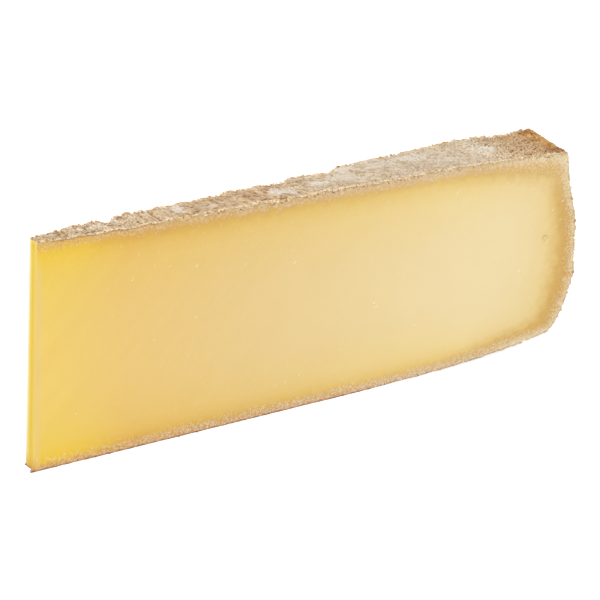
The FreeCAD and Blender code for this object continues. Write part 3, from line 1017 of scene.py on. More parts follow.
def heel_edge_crumbs(wheel, heap, count):
    """Crumbs up and down the heel's two cut edges."""
    rng = heap.rng
    for _ in range(count):
        height = np.array([rng.uniform(8.0, 101.0)])
        back = rng.uniform() < 0.4
        x = wheel.heel_x(height, np.array([0.0]))
        y = wheel.back_y(x, height) if back else wheel.front_y(x)
        x = wheel.heel_x(height, y)
        place = (x[0] - rng.uniform(-0.05, 0.9), y[0] + (-0.3 if back else 0.10), height[0])
        heap.add(place, rng.uniform(0.20, 0.46), rng.uniform(0.55, 1.0))


def lower_edge_crumbs(wheel, heap, count):
    """Dark crumbs along the foot of the front cut."""
    rng = heap.rng
    for _ in range(count):
        x = rng.uniform(54.0, 300.0)
        place = (x, wheel.front_y(x) + rng.uniform(-0.05, 0.15), wheel.bottom_z(x) + rng.uniform(0.2, 0.9))
        heap.add(place, rng.uniform(0.14, 0.30), 0.5 * rng.uniform() ** 1.5)
    for x, size in FOOT_CRUMBS:
        heap.add((x, wheel.front_y(x) - 0.12, 0.22), size, 0.0)


def build_crumbs(wheel, material, settings):
    """Loose crumbs of rind and paste along the cut edges of the rind."""
    heap = Heap(settings.seed)
    front_lip_crumbs(wheel, heap, int(settings.crumbs * FRONT_LIP_SHARE))
    back_edge_crumbs(wheel, heap, int(settings.crumbs * BACK_EDGE_SHARE))
    heel_edge_crumbs(wheel, heap, int(settings.crumbs * HEEL_EDGE_SHARE))
    lower_edge_crumbs(wheel, heap, int(settings.crumbs * LOWER_EDGE_SHARE))
    points, faces, tints = heap.shapes()
    points[:, 2] = np.maximum(points[:, 2], 0.01)
    finish_piece("crumbs", points, faces, {"grain": tints}, material)


def build_crystals(wheel, material, settings):
    """White crystals of ripening, set in the two cut faces, and a grain in the eye."""
    heap = Heap(settings.seed + 5)
    rng = heap.rng
    for back in (False, True):
        for _ in range(settings.crystals):
            x = np.array([62.0 + 250.0 * rng.uniform() ** 0.7])
            z = np.array([rng.uniform(5.0, 98.0)])
            plane = wheel.back_y(x, z) if back else wheel.front_y(x)
            if wheel.band(x, plane, z)[0] < CRYSTAL_MARGIN:
                continue
            y = back_cut(wheel, x, z) if back else front_cut(wheel, x, z)
            size = 0.15 + 0.40 * rng.uniform() ** 1.8
            sink = CRYSTAL_SINK * size
            heap.add((x[0], y[0] + (-sink if back else sink), z[0]), size, rng.uniform())
    heap.add((EYE_AT + 0.35, wheel.front_y(EYE_AT) + 0.25, EYE_HEIGHT + 0.1), 0.42, 0.2)
    points, faces, tints = heap.shapes(flat=0.8, unevenness=0.12, slant=0.8)
    finish_piece("crystals", points, faces, {"grain": tints}, material)


# ---------------------------------------------------------------- materials

WHITE = (1.0, 1.0, 1.0, 1.0)
BLACK = (0.0, 0.0, 0.0, 1.0)


def linear(colour):
    """An 8-bit screen colour as the linear values that nodes use."""
    out = []
    for value in colour:
        c = value / 255.0
        out.append(c / 12.92 if c <= 0.04045 else ((c + 0.055) / 1.055) ** 2.4)
    return (*out, 1.0)


def solid(colour):
    """A colour of the settings, with full cover."""
    return (*colour, 1.0)


def share(colour):
    """A screen-colour ratio, such as 0.93 of the red, as the same change in linear values."""
    return (*[min(1.0, value) ** 2.2 for value in colour], 1.0)


class Net:
    """A short way to write node trees: each call makes a node and links what feeds it."""

    def __init__(self, tree):
        self.tree = tree
        self.count = 0

    def node(self, kind, inputs=None, **settings):
        made = self.tree.nodes.new(kind)
        made.location = (220 * (self.count % 9) - 900, 300 - 260 * (self.count // 9))
        self.count += 1
        for key, value in settings.items():
            setattr(made, key, value)
        for key, value in (inputs or {}).items():
            if isinstance(value, bpy.types.NodeSocket):
                self.tree.links.new(value, made.inputs[key])
            else:
                made.inputs[key].default_value = value
        return made

    def mask(self, name):
        return self.node("ShaderNodeAttribute", attribute_name=name).outputs["Fac"]

    def place(self):
        return self.node("ShaderNodeTexCoord").outputs["Object"]

    def sum(self, kind, a, b=0.0, c=0.0):
        return self.node("ShaderNodeMath", {0: a, 1: b, 2: c}, operation=kind).outputs[0]

    def times(self, a, b):
        return self.sum("MULTIPLY", a, b)

    def plus(self, a, b):
        return self.sum("ADD", a, b)

    def larger(self, a, b):
        return self.sum("MAXIMUM", a, b)

    def noise(self, place, scale):
        made = self.node("ShaderNodeTexNoise", {"Vector": place, "Scale": scale, "Detail": 2.0})
        return made.outputs["Fac"]

    def between(self, value, low, high, to_low=0.0, to_high=1.0):
        made = self.node("ShaderNodeMapRange", {"Value": value, "From Min": low, "From Max": high,
                                                "To Min": to_low, "To Max": to_high})
        made.interpolation_type = "SMOOTHSTEP"
        return made.outputs["Result"]

    def line(self, value, low, high):
        made = self.node("ShaderNodeMapRange", {"Value": value, "From Min": low, "From Max": high})
        return made.outputs["Result"]

    def ramp(self, value, stops):
        made = self.node("ShaderNodeValToRGB", {"Fac": value})
        elements = made.color_ramp.elements
        while len(elements) < len(stops):
            elements.new(0.5)
        for element, (place, _) in zip(elements, stops):
            element.position = place
        for element, (_, colour) in zip(elements, stops):
            element.color = colour
        return made.outputs["Color"]

    def table(self, value, low, high, rows, paint=solid):
        """Colours over a mask that has been mapped from low and high to 0 and 1: each row has a place
        between low and high, and a colour."""
        return self.ramp(value, [((place - low) / (high - low), paint(colour)) for place, colour in rows])

    def mix(self, amount, a, b, kind="MIX"):
        made = self.node("ShaderNodeMix", data_type="RGBA", blend_type=kind)
        made.clamp_factor = True
        for socket, value in ((made.inputs[0], amount), (made.inputs[6], a), (made.inputs[7], b)):
            if isinstance(value, bpy.types.NodeSocket):
                self.tree.links.new(value, socket)
            else:
                socket.default_value = value
        return made.outputs[2]

    def tinted(self, colour, tint):
        """A colour multiplied by a tint."""
        return self.mix(1.0, colour, tint, "MULTIPLY")

    def group(self, tree, inputs):
        made = self.node("ShaderNodeGroup")
        made.node_tree = tree
        for key, value in inputs.items():
            if isinstance(value, bpy.types.NodeSocket):
                self.tree.links.new(value, made.inputs[key])
            else:
                made.inputs[key].default_value = value
        return made


def new_group(name, inputs, outputs):
    tree = bpy.data.node_groups.new(name, "ShaderNodeTree")
    for label, kind, default in inputs:
        socket = tree.interface.new_socket(label, in_out="INPUT", socket_type=kind)
        socket.default_value = default
    for label, kind in outputs:
        tree.interface.new_socket(label, in_out="OUTPUT", socket_type=kind)
    net = Net(tree)
    start = net.node("NodeGroupInput")
    end = net.node("NodeGroupOutput")
    return tree, net, start, end


def grain_group():
    """Packed grains: a tint that is dark in the gaps, which is painted shade between the grains, and light on
    some grains, and their height.
    """
    name = "packed grains"
    if name in bpy.data.node_groups:
        return bpy.data.node_groups[name]
    inputs = [("Place", "NodeSocketVector", (0.0, 0.0, 0.0)), ("Grains per metre", "NodeSocketFloat", 1600.0),
              ("Painted gap shade", "NodeSocketColor", (0.6, 0.5, 0.4, 1.0)), ("Share light", "NodeSocketFloat", 0.4)]
    outputs = [("Tint", "NodeSocketColor"), ("Height", "NodeSocketFloat"), ("Light mask", "NodeSocketFloat")]
    tree, net, start, end = new_group(name, inputs, outputs)
    place, often, gap, share_light = start.outputs[:4]
    warp = net.node("ShaderNodeTexNoise", {"Vector": place, "Scale": 900.0, "Detail": 1.0})
    moved = net.node("ShaderNodeMixRGB", {"Fac": 0.0005, "Color1": place, "Color2": warp.outputs["Color"]},
                     blend_type="ADD").outputs[0]
    cell = net.node("ShaderNodeTexVoronoi", {"Vector": moved, "Scale": often, "Randomness": 1.0})
    dome = net.between(cell.outputs["Distance"], 0.15, 0.62, 1.0, 0.0)
    parts = net.node("ShaderNodeSeparateColor", {"Color": cell.outputs["Color"]})
    light = net.between(net.sum("SUBTRACT", share_light, parts.outputs[0]), -0.14, 0.14)
    light = net.times(light, net.between(cell.outputs["Distance"], 0.3, 0.72, 1.0, 0.0))
    # painted shade: the gap colour darkens the edges of each grain
    tint = net.mix(dome, gap, WHITE)
    height = net.times(dome, net.line(parts.outputs[1], -0.6, 1.0))
    net.tree.links.new(tint, end.inputs[0])
    net.tree.links.new(height, end.inputs[1])
    net.tree.links.new(light, end.inputs[2])
    return tree


def mottle_group():
    """Soft cloudy variation: a tint between two colours, and the mask behind it."""
    name = "soft mottling"
    if name in bpy.data.node_groups:
        return bpy.data.node_groups[name]
    inputs = [("Clouds per metre", "NodeSocketFloat", 60.0), ("Low", "NodeSocketColor", (0.9, 0.9, 0.9, 1.0)),
              ("High", "NodeSocketColor", WHITE), ("Stretch", "NodeSocketVector", (1.0, 1.0, 1.0)),
              ("Turn", "NodeSocketFloat", 0.0)]
    outputs = [("Tint", "NodeSocketColor"), ("Mask", "NodeSocketFloat")]
    tree, net, start, end = new_group(name, inputs, outputs)
    place = net.place()
    turned = net.node("ShaderNodeVectorRotate", {"Vector": place, "Angle": start.outputs[4]},
                      rotation_type="Y_AXIS").outputs[0]
    scaled = net.node("ShaderNodeVectorMath", {0: turned, 1: start.outputs[3]},
                      operation="MULTIPLY").outputs[0]
    cloud = net.node("ShaderNodeTexNoise", {"Vector": scaled, "Scale": start.outputs[0], "Detail": 3.0,
                                            "Roughness": 0.55}).outputs["Fac"]
    mask = net.between(cloud, 0.32, 0.68)
    tint = net.mix(mask, start.outputs[1], start.outputs[2])
    net.tree.links.new(tint, end.inputs[0])
    net.tree.links.new(mask, end.inputs[1])
    return tree


def new_material(name, kind=Net):
    material = bpy.data.materials.new(name)
    material.use_nodes = True
    material.node_tree.nodes.clear()
    return material, kind(material.node_tree)


def close_material(net, colour, height, roughness, bump=0.4, reach=0.00015, subsurface=0.0, specular=0.3):
    """The shader of a food surface, its constants on its own sockets."""
    bumped = net.node("ShaderNodeBump", {"Height": height, "Strength": bump, "Distance": reach})
    shader = net.node("ShaderNodeBsdfPrincipled", {
        "Base Color": colour, "Roughness": roughness, "Normal": bumped.outputs[0],
        "Specular IOR Level": specular, "Subsurface Weight": subsurface,
        "Subsurface Radius": (1.0, 0.6, 0.25), "Subsurface Scale": 0.0015,
    })
    out = net.node("ShaderNodeOutputMaterial")
    net.tree.links.new(shader.outputs[0], out.inputs["Surface"])


# ---------------------------------------------------------------- the paste's material

# in millimetres: colours from tip to heel are given between these distances from the wheel's axis, and
# this far under the rind the paste has its own colour
REACH_LOW, REACH_HIGH = 50.0, 330.0
RIM_DEPTH = 40.0

# what is left of red, green and blue at a depth under the rind: along the wedge, at the tip, at the heel
BAND_TINTS = [
    (0.0, (0.94, 0.905, 0.92)), (1.4, (0.93, 0.90, 0.93)), (3.0, (0.915, 0.855, 0.83)),
    (4.6, (0.92, 0.85, 0.70)), (6.0, (0.945, 0.885, 0.69)), (7.6, (0.97, 0.925, 0.755)),
    (11.2, (0.987, 0.962, 0.84)), (16.0, (0.997, 0.985, 0.91)), (27.2, (1.0, 0.995, 0.965)),
    (40.0, (1.0, 1.0, 1.0))]
BAND_TINTS_TIP = [
    (0.0, (0.92, 0.85, 0.88)), (1.4, (0.94, 0.88, 0.84)), (3.0, (0.955, 0.90, 0.74)),
    (4.6, (0.985, 0.95, 0.64)), (7.6, (1.0, 0.98, 0.69)), (13.2, (1.0, 0.995, 0.83)),
    (22.0, (1.0, 1.0, 0.93)), (40.0, (1.0, 1.0, 1.0))]
BAND_TINTS_HEEL = [
    (0.0, (0.945, 0.895, 0.82)), (1.0, (0.925, 0.86, 0.75)), (1.8, (0.895, 0.80, 0.62)),
    (3.2, (0.885, 0.775, 0.575)), (5.4, (0.895, 0.80, 0.60)), (7.2, (0.94, 0.88, 0.715)),
    (10.4, (0.98, 0.955, 0.87)), (16.0, (0.995, 0.985, 0.95)), (24.0, (1.0, 1.0, 1.0))]


class PasteNet(Net):
    """The paste's node tree, with its masks at hand: how far out from the wheel's axis, how deep under
    the rind and how high above the foot, all in millimetres, and clouds that make edges wander."""

    def __init__(self, tree):
        super().__init__(tree)
        self.reach = self.mask("reach")
        self.band = self.mask("band")
        self.rise = self.mask("rise")
        clouds = self.group(mottle_group(), {"Clouds per metre": 260.0, "Low": BLACK, "High": WHITE})
        self.wander = clouds.outputs["Mask"]


def paste_core(net, colours):
    """The paste's colour from tip to heel, a little duller high up: its own colour, with painted light that
    comes through the thin end and makes it deeper yellow towards the tip.
    """
    share_out = net.line(net.reach, REACH_LOW, REACH_HIGH)
    core = net.table(share_out, REACH_LOW, REACH_HIGH, [
        (62, colours.paste_tip), (92, colours.paste_thin), (146, colours.paste_middle),
        (207, colours.paste_thick), (262, colours.paste_heel)])
    duller = net.tinted(core, share((0.991, 0.989, 0.987)))
    return net.mix(net.between(net.rise, 45.0, 85.0), core, duller)


def paste_under_rind(net, core):
    """The paste's colour as it deepens towards the rind."""
    uneven = net.sum("MULTIPLY_ADD", net.wander, 1.1, -0.55)
    depth_share = net.line(net.plus(net.band, uneven), 0.0, RIM_DEPTH)
    middle, tip, heel = (net.table(depth_share, 0.0, RIM_DEPTH, rows, share)
                         for rows in (BAND_TINTS, BAND_TINTS_TIP, BAND_TINTS_HEEL))
    near_tip = net.between(net.reach, 70.0, 98.0, 1.0, 0.0)
    near_heel = net.between(net.reach, 236.0, 292.0)
    lighter = net.larger(net.between(net.rise, 74.0, 92.0, 0.0, 0.24),
                         net.between(net.rise, 4.0, 14.0, 0.32, 0.0))
    lighter = net.times(lighter, net.between(net.reach, 262.0, 290.0))
    rim = net.mix(near_heel, net.mix(near_tip, middle, tip), net.mix(lighter, heel, WHITE))
    colour = net.tinted(core, rim)
    # browner along the foot
    foot = net.times(net.between(net.rise, 0.7, 3.4, 0.55, 0.0),
                     net.between(net.reach, 190.0, 270.0, 1.0, 0.0))
    colour = net.mix(foot, colour, linear((219, 160, 88)))
    # the dry outermost paste at the heel's corners is paler
    corners = net.larger(net.between(net.rise, 66.0, 92.0), net.between(net.rise, 6.0, 18.0, 0.7, 0.0))
    corners = net.times(corners, net.between(net.reach, 256.0, 292.0, 0.0, 0.8))
    corners = net.times(corners, net.between(net.band, 0.4, 3.6, 1.0, 0.0))
    return net.mix(corners, colour, linear((240, 222, 192)))


def paste_torn_grains(net, colour, colours):
    """Torn grains in the band under the rind, drawn out along the slanted way of the knife: the
    colour with them, and how high they stand."""
    ragged = net.sum("MULTIPLY_ADD", net.wander, 1.6, -0.8)
    ragged = net.plus(net.band, ragged)
    ragged = net.times(ragged, net.between(net.rise, 6.0, 14.0, 0.78, 1.0))
    ragged = net.times(ragged, net.between(net.reach, 296.0, 316.0, 1.0, 1.3))
    slanted = net.node("ShaderNodeMapping", {
        "Vector": net.place(), "Rotation": (0.0, math.radians(-45.0), 0.0), "Scale": (1.9, 1.0, 1.0),
    }, vector_type="TEXTURE").outputs[0]
    grains = net.group(grain_group(), {"Place": slanted, "Grains per metre": 2150.0,
                                       "Painted gap shade": share((0.93, 0.90, 0.85)),
                                       "Share light": net.between(ragged, 0.8, 6.2, 0.84, 0.0)})
    # painted shade between the torn grains, strongest close to the rind
    gaps = net.between(ragged, 1.2, 3.6, 0.9, 0.0)
    gaps = net.times(gaps, net.between(net.reach, 262.0, 300.0, 1.0, 0.8))
    colour = net.mix(gaps, colour, net.tinted(colour, grains.outputs["Tint"]))
    strength = net.plus(net.between(net.reach, 84.0, 128.0, 0.30, 0.42),
                        net.between(net.rise, 5.0, 12.0, 0.2, 0.0))
    at_crust = net.between(ragged, 0.6, 2.8, 0.46, 0.0)
    strength = net.sum("MULTIPLY_ADD", at_crust, net.between(net.reach, 262.0, 300.0), strength)
    pale = net.mix(strength, colour, solid(colours.torn_grains))
    colour = net.mix(net.times(grains.outputs["Light mask"], 0.9), colour, pale)
    # finer amber and cream grains between them at the heel
    powder = net.group(grain_group(), {"Place": slanted, "Grains per metre": 3000.0,
                                       "Painted gap shade": share((0.965, 0.925, 0.81)),
                                       "Share light": net.between(ragged, 0.8, 7.0, 0.72, 0.0)})
    dusted = net.times(net.between(net.reach, 258.0, 292.0), net.between(ragged, 3.5, 7.5, 1.0, 0.0))
    colour = net.mix(net.times(dusted, 0.8), colour, net.tinted(colour, powder.outputs["Tint"]))
    dusted = net.times(dusted, net.times(powder.outputs["Light mask"], 0.62))
    colour = net.mix(dusted, colour, linear((251, 241, 214)))
    return colour, net.times(grains.outputs["Height"], net.between(ragged, 1.0, 6.5, 1.0, 0.0))


def paste_marks(net, colour):
    """Greyer just behind the tip's edge, painted shade where less light comes through the paste; darker tan
    in the small eye, painted shade in its hollow; faintly cloudy and streaked.
    """
    # painted shade: less light comes through the paste just behind the tip's edge, so it is drawn greyer
    # there
    edge = net.times(net.between(net.mask("from_tip"), 0.2, 3.2, 1.0, 0.0), 0.5)
    edge = net.times(edge, net.between(net.rise, 101.0, 88.0, 0.0, 1.0))
    colour = net.mix(edge, colour, linear((236, 208, 148)))
    # painted shade: the small eye's hollow is drawn darker tan
    colour = net.mix(net.times(net.mask("eye"), 0.42), colour, linear((212, 170, 92)))
    clouds = net.group(mottle_group(), {"Clouds per metre": 42.0, "Low": share((0.996, 0.992, 0.986)),
                                        "High": WHITE})
    colour = net.tinted(colour, clouds.outputs["Tint"])
    streaks = net.group(mottle_group(), {"Clouds per metre": 150.0, "Low": share((0.990, 0.981, 0.965)),
                                         "High": WHITE, "Stretch": (1.0, 1.0, 0.09),
                                         "Turn": math.radians(-42.0)})
    marked = net.times(net.between(net.reach, 100.0, 210.0, 0.75, 0.08), clouds.outputs["Mask"])
    return net.mix(marked, colour, net.tinted(colour, streaks.outputs["Tint"]))


def paste_tip(net):
    """The trimmed tip: light comes through the thin edge, so it is palest at the back edge."""
    colour = net.table(net.mask("across"), 0.0, 1.0, [
        (0.0, (241, 210, 122)), (0.15, (240, 207, 100)), (0.5, (234, 197, 54)),
        (0.7, (242, 212, 108)), (0.84, (250, 234, 178)), (1.0, (252, 243, 206))], linear)
    foot = net.between(net.rise, 1.0, 9.0, 0.75, 0.0)
    return net.mix(foot, colour, linear((228, 176, 78)))


def paste_material(colours):
    """Paste: deep yellow at the thin tip, partly with painted light that comes through it there, paler to the
    heel, browner under the rind and grainy there.
    """
    material, net = new_material("paste", PasteNet)
    colour = paste_under_rind(net, paste_core(net, colours))
    colour, height = paste_torn_grains(net, colour, colours)
    colour = paste_marks(net, colour)
    colour = net.mix(net.mask("on_tip"), colour, paste_tip(net))
    height = net.sum("MULTIPLY_ADD", net.noise(net.place(), 1400.0), 0.12, height)
    roughness = net.between(net.band, 2.0, 7.0, 0.72, 0.5)
    close_material(net, colour, height, roughness, bump=0.35, reach=0.00022, subsurface=0.12, specular=0.28)
    return material


# ---------------------------------------------------------------- the other materials

def rind_base(net, colours, along, tone_and_painted_shade):
    """The rind's colour from tip to heel and underneath, darker in its gaps: its own colour, tinted by its
    tone, which holds painted shade and painted highlight.
    """
    share_along = net.line(along, REACH_LOW, REACH_HIGH)
    base = net.table(share_along, REACH_LOW, REACH_HIGH, [
        (56, colours.rind_tip), (76, colours.rind_thin), (92, colours.rind_thin),
        (112, colours.rind_middle), (160, colours.rind_middle), (186, colours.rind_worn),
        (242, colours.rind_worn), (270, colours.rind_grainy), (290, colours.rind_heel),
        (322, colours.heel)])
    base = net.mix(net.between(along, 425.0, 455.0), base, linear((196, 160, 118)))
    return net.tinted(base, tone_and_painted_shade)


def rind_lip(net, colours, place, tone_and_painted_shade):
    """The crumbly lip at the cuts: each small lump is dark, ochre or cream."""
    cell = net.node("ShaderNodeTexVoronoi", {"Vector": place, "Scale": 1500.0})
    pick = net.node("ShaderNodeSeparateColor", {"Color": cell.outputs["Color"]}).outputs[0]
    lumps = net.ramp(pick, [(0.0, solid(colours.crumb_dark)), (0.12, solid(colours.crumb_ochre)),
                            (0.45, linear((242, 216, 172))), (1.0, solid(colours.crumb_cream))])
    return net.mix(0.45, lumps, net.tinted(lumps, tone_and_painted_shade))


def rind_material(colours):
    """Rind: grey-brown and fibrous near the tip, paler and worn along the middle, golden-brown and
    grainy at the heel, with whitish rubbed places, dark pits and a crumbly ochre lip at the cuts."""
    material, net = new_material("rind")
    along, place = net.mask("along"), net.place()
    # the tint from the tone mask: partly the rind's own dark and pale marks, partly painted shade in its gaps
    # and creases and painted highlight on its raised tops
    tone_and_painted_shade = net.table(net.line(net.mask("tone"), -1.2, 1.2), 0.0, 1.0, [
        (0.0, (0.60, 0.48, 0.34)), (0.25, (0.77, 0.69, 0.59)), (0.5, (0.885, 0.855, 0.825)),
        (0.75, (0.965, 0.965, 0.96)), (1.0, (1.0, 1.0, 1.0))], share)
    colour = rind_base(net, colours, along, tone_and_painted_shade)
    clouds = net.group(mottle_group(), {"Clouds per metre": 170.0, "Low": share((0.94, 0.92, 0.89)),
                                        "High": WHITE, "Stretch": (0.6, 1.0, 1.0)})
    colour = net.tinted(colour, clouds.outputs["Tint"])
    grains = net.group(grain_group(), {"Place": place, "Grains per metre": 1300.0, "Share light": 0.45,
                                       "Painted gap shade": share((0.80, 0.74, 0.66))})
    amount = net.sum("MULTIPLY_ADD", net.between(along, 262.0, 292.0), 0.45, 0.3)
    amount = net.plus(amount, net.between(along, 80.0, 115.0, 0.45, 0.0))
    colour = net.mix(amount, colour, net.tinted(colour, grains.outputs["Tint"]))
    # golden-brown smear over the heel's top rim
    golden = net.table(clouds.outputs["Mask"], 0.0, 1.0, [
        (0.0, (160, 106, 50)), (0.5, (200, 148, 80)), (1.0, (226, 182, 114))], linear)
    colour = net.mix(net.times(net.mask("golden"), 0.85), colour, net.tinted(golden, tone_and_painted_shade))
    # whitish rubbed places
    white = solid(colours.rubbed)
    white = net.mix(0.45, white, net.tinted(white, tone_and_painted_shade))
    colour = net.mix(net.times(net.mask("rubbed"), 0.85), colour, white)
    # dark chips and pits, and the lip
    colour = net.mix(net.times(net.mask("pit"), 0.7), colour, linear((122, 84, 48)))
    colour = net.mix(net.times(net.mask("lip"), 0.85), colour, rind_lip(net, colours, place, tone_and_painted_shade))
    # the lower cut edge is thin and dark
    under = net.times(net.between(along, 452.0, 470.0),
                      net.between(net.mask("rise"), 0.45, 0.95, 1.0, 0.0))
    dark_edge_colours = net.table(net.noise(place, 420.0), 0.0, 1.0, [
        (0.36, (104, 66, 40)), (0.5, (162, 108, 60)), (0.64, (206, 148, 86))], linear)
    colour = net.mix(net.times(under, 0.85), colour, dark_edge_colours)
    height = net.sum("MULTIPLY_ADD", net.noise(place, 2600.0), 0.6, grains.outputs["Height"])
    roughness = net.between(net.mask("golden"), 0.0, 1.0, 0.85, 0.55)
    close_material(net, colour, height, roughness, bump=0.5, reach=0.00018, subsurface=0.03, specular=0.22)
    return material


def crumb_material(colours):
    """Crumbs: cream, ochre or brown, each its own."""
    material, net = new_material("crumbs")
    colour = net.table(net.mask("grain"), 0.0, 1.0, [
        (0.0, colours.crumb_dark), (0.3, colours.crumb_ochre), (1.0, colours.crumb_cream)])
    grains = net.group(grain_group(), {"Place": net.place(), "Grains per metre": 2600.0,
                                       "Share light": 0.4, "Painted gap shade": share((0.93, 0.90, 0.85))})
    colour = net.tinted(colour, grains.outputs["Tint"])
    close_material(net, colour, grains.outputs["Height"], 0.75, bump=0.4, reach=0.0001, subsurface=0.05)
    return material


def crystal_material(colours):
    """Crystals: small white specks, a little uneven in tone."""
    material, net = new_material("crystals")
    colour = net.ramp(net.mask("grain"), [(0.0, linear((250, 241, 216))), (0.25, solid(colours.crystals)),
                                          (1.0, linear((255, 253, 246)))])
    clouds = net.group(mottle_group(), {"Clouds per metre": 1800.0, "Low": share((0.95, 0.94, 0.92)),
                                        "High": WHITE})
    colour = net.tinted(colour, clouds.outputs["Tint"])
    close_material(net, colour, clouds.outputs["Mask"], 0.5, bump=0.2, reach=0.00005, subsurface=0.1)
    return material


# ---------------------------------------------------------------- the stage

def make_lamp(name, place, aim, size, power):
    """A round soft lamp that points at a place."""
    light = bpy.data.lights.new(name, "AREA")
    light.shape = "DISK"
    light.size = size
    light.energy = power
    lamp = bpy.data.objects.new(name, light)
    bpy.context.scene.collection.objects.link(lamp)
    lamp.location = place
    direction = Vector(aim) - Vector(place)
    lamp.rotation_euler = direction.to_track_quat("-Z", "Y").to_euler()


SENSOR_WIDTH = 36.0        # millimetres, as the lens
FLOOR_DROP = 0.0004        # the floor lies this far below the foot, so that the two never share a face
FLOOR_HALF = 3.0
FLOOR_GREY = (0.5, 0.52)   # the floor's own grey, a little cloudy
FLOOR_GLOW = 0.84          # what lifts that grey to white where it is seen

# name, place, the point it lights, width, and its power as a share of the main lamp's
LAMPS = [
    ("main lamp", (-0.75, -0.75, 1.15), (0.0, 0.0, 0.05), 0.9, 1.0),
    ("side lamp", (0.9, -1.1, 0.7), (0.05, 0.0, 0.05), 1.0, 0.56),
    ("back lamp", (-0.9, 0.9, 0.6), (0.0, 0.0, 0.1), 0.5, 0.48),
]


def seen(net):
    """1 where the camera sees a surface straight on, in a reflection or through glass."""
    path = net.node("ShaderNodeLightPath")
    either = net.larger(path.outputs["Is Camera Ray"], path.outputs["Is Glossy Ray"])
    return net.larger(either, path.outputs["Is Transmission Ray"])


def make_floor():
    """A plain pale floor: it shows white to the camera and keeps the soft shadow under the wedge."""
    mesh = bpy.data.meshes.new("floor")
    work = bmesh.new()
    bmesh.ops.create_grid(work, x_segments=8, y_segments=8, size=FLOOR_HALF)
    work.to_mesh(mesh)
    work.free()
    floor = bpy.data.objects.new("floor", mesh)
    floor.location = (0.0, 0.0, -FLOOR_DROP)
    bpy.context.scene.collection.objects.link(floor)
    material, net = new_material("pale floor")
    low, high = ((grey, grey, grey, 1.0) for grey in FLOOR_GREY)
    clouds = net.group(mottle_group(), {"Clouds per metre": 3.0, "Low": low, "High": high})
    plain = net.node("ShaderNodeBsdfDiffuse", {"Color": clouds.outputs["Tint"]})
    glow = net.node("ShaderNodeEmission", {"Color": WHITE, "Strength": net.times(seen(net), FLOOR_GLOW)})
    both = net.node("ShaderNodeAddShader", {0: plain.outputs[0], 1: glow.outputs[0]})
    out = net.node("ShaderNodeOutputMaterial")
    net.tree.links.new(both.outputs[0], out.inputs["Surface"])
    mesh.materials.append(material)


def make_world(stage):
    """Even light from all round, and a white background."""
    world = bpy.data.worlds.new("studio")
    bpy.context.scene.world = world
    world.use_nodes = True
    world.node_tree.nodes.clear()
    net = Net(world.node_tree)
    strength = net.node("ShaderNodeMapRange", {"Value": seen(net), "To Min": stage.fill,
                                               "To Max": 1.0}).outputs[0]
    glow = net.node("ShaderNodeBackground", {"Color": WHITE, "Strength": strength})
    out = net.node("ShaderNodeOutputWorld")
    net.tree.links.new(glow.outputs[0], out.inputs["Surface"])


def make_camera(stage):
    """The camera, turned by the stage's azimuth, elevation and roll towards the point it looks at."""
    data = bpy.data.cameras.new("camera")
    data.lens = stage.lens
    data.sensor_width = SENSOR_WIDTH
    data.clip_start = 0.01
    camera = bpy.data.objects.new("camera", data)
    bpy.context.scene.collection.objects.link(camera)
    aim = Vector(stage.aim)
    azimuth, elevation = stage.azimuth, stage.elevation
    forward = Vector((math.cos(azimuth) * math.cos(elevation), math.sin(azimuth) * math.cos(elevation),
                      -math.sin(elevation)))
    level = forward.cross(Vector((0.0, 0.0, 1.0))).normalized()
    upright = level.cross(forward)
    right = level * math.cos(stage.roll) + upright * math.sin(stage.roll)
    up = upright * math.cos(stage.roll) - level * math.sin(stage.roll)
    place = aim - forward * stage.distance
    camera.matrix_world = Matrix((
        (right.x, up.x, -forward.x, place.x), (right.y, up.y, -forward.y, place.y),
        (right.z, up.z, -forward.z, place.z), (0.0, 0.0, 0.0, 1.0)))
    bpy.context.scene.camera = camera


# ---------------------------------------------------------------- settings, operators and panel

class CheeseSizes(bpy.types.PropertyGroup):
    wheel_height: FloatProperty(name="Wheel height", description="Flat rind to flat rind",
                                default=0.1052, unit="LENGTH")
    wheel_radius: FloatProperty(name="Wheel radius", description="At the fullest height of the heel",
                                default=0.3254, unit="LENGTH")
    wedge_angle: FloatProperty(name="Wedge angle", description="Between the front and the back cut",
                               default=math.radians(5.88), subtype="ANGLE")
    rind_thickness: FloatProperty(name="Rind thickness", description="Thickness of the dry crust",
                                  default=0.0011, unit="LENGTH")
    crumbs: IntProperty(name="Crumbs", description="Loose crumbs along the cut edges", default=1500, min=0)
    crystals: IntProperty(name="Crystals", description="White specks tried on each cut face",
                          default=120, min=0)
    seed: IntProperty(name="Seed", description="Changes where the crumbs and crystals fall", default=7)


def colour_property(name, description, colour):
    return FloatVectorProperty(name=name, description=description, default=linear(colour)[:3],
                               subtype="COLOR", size=3, min=0.0, max=1.0)


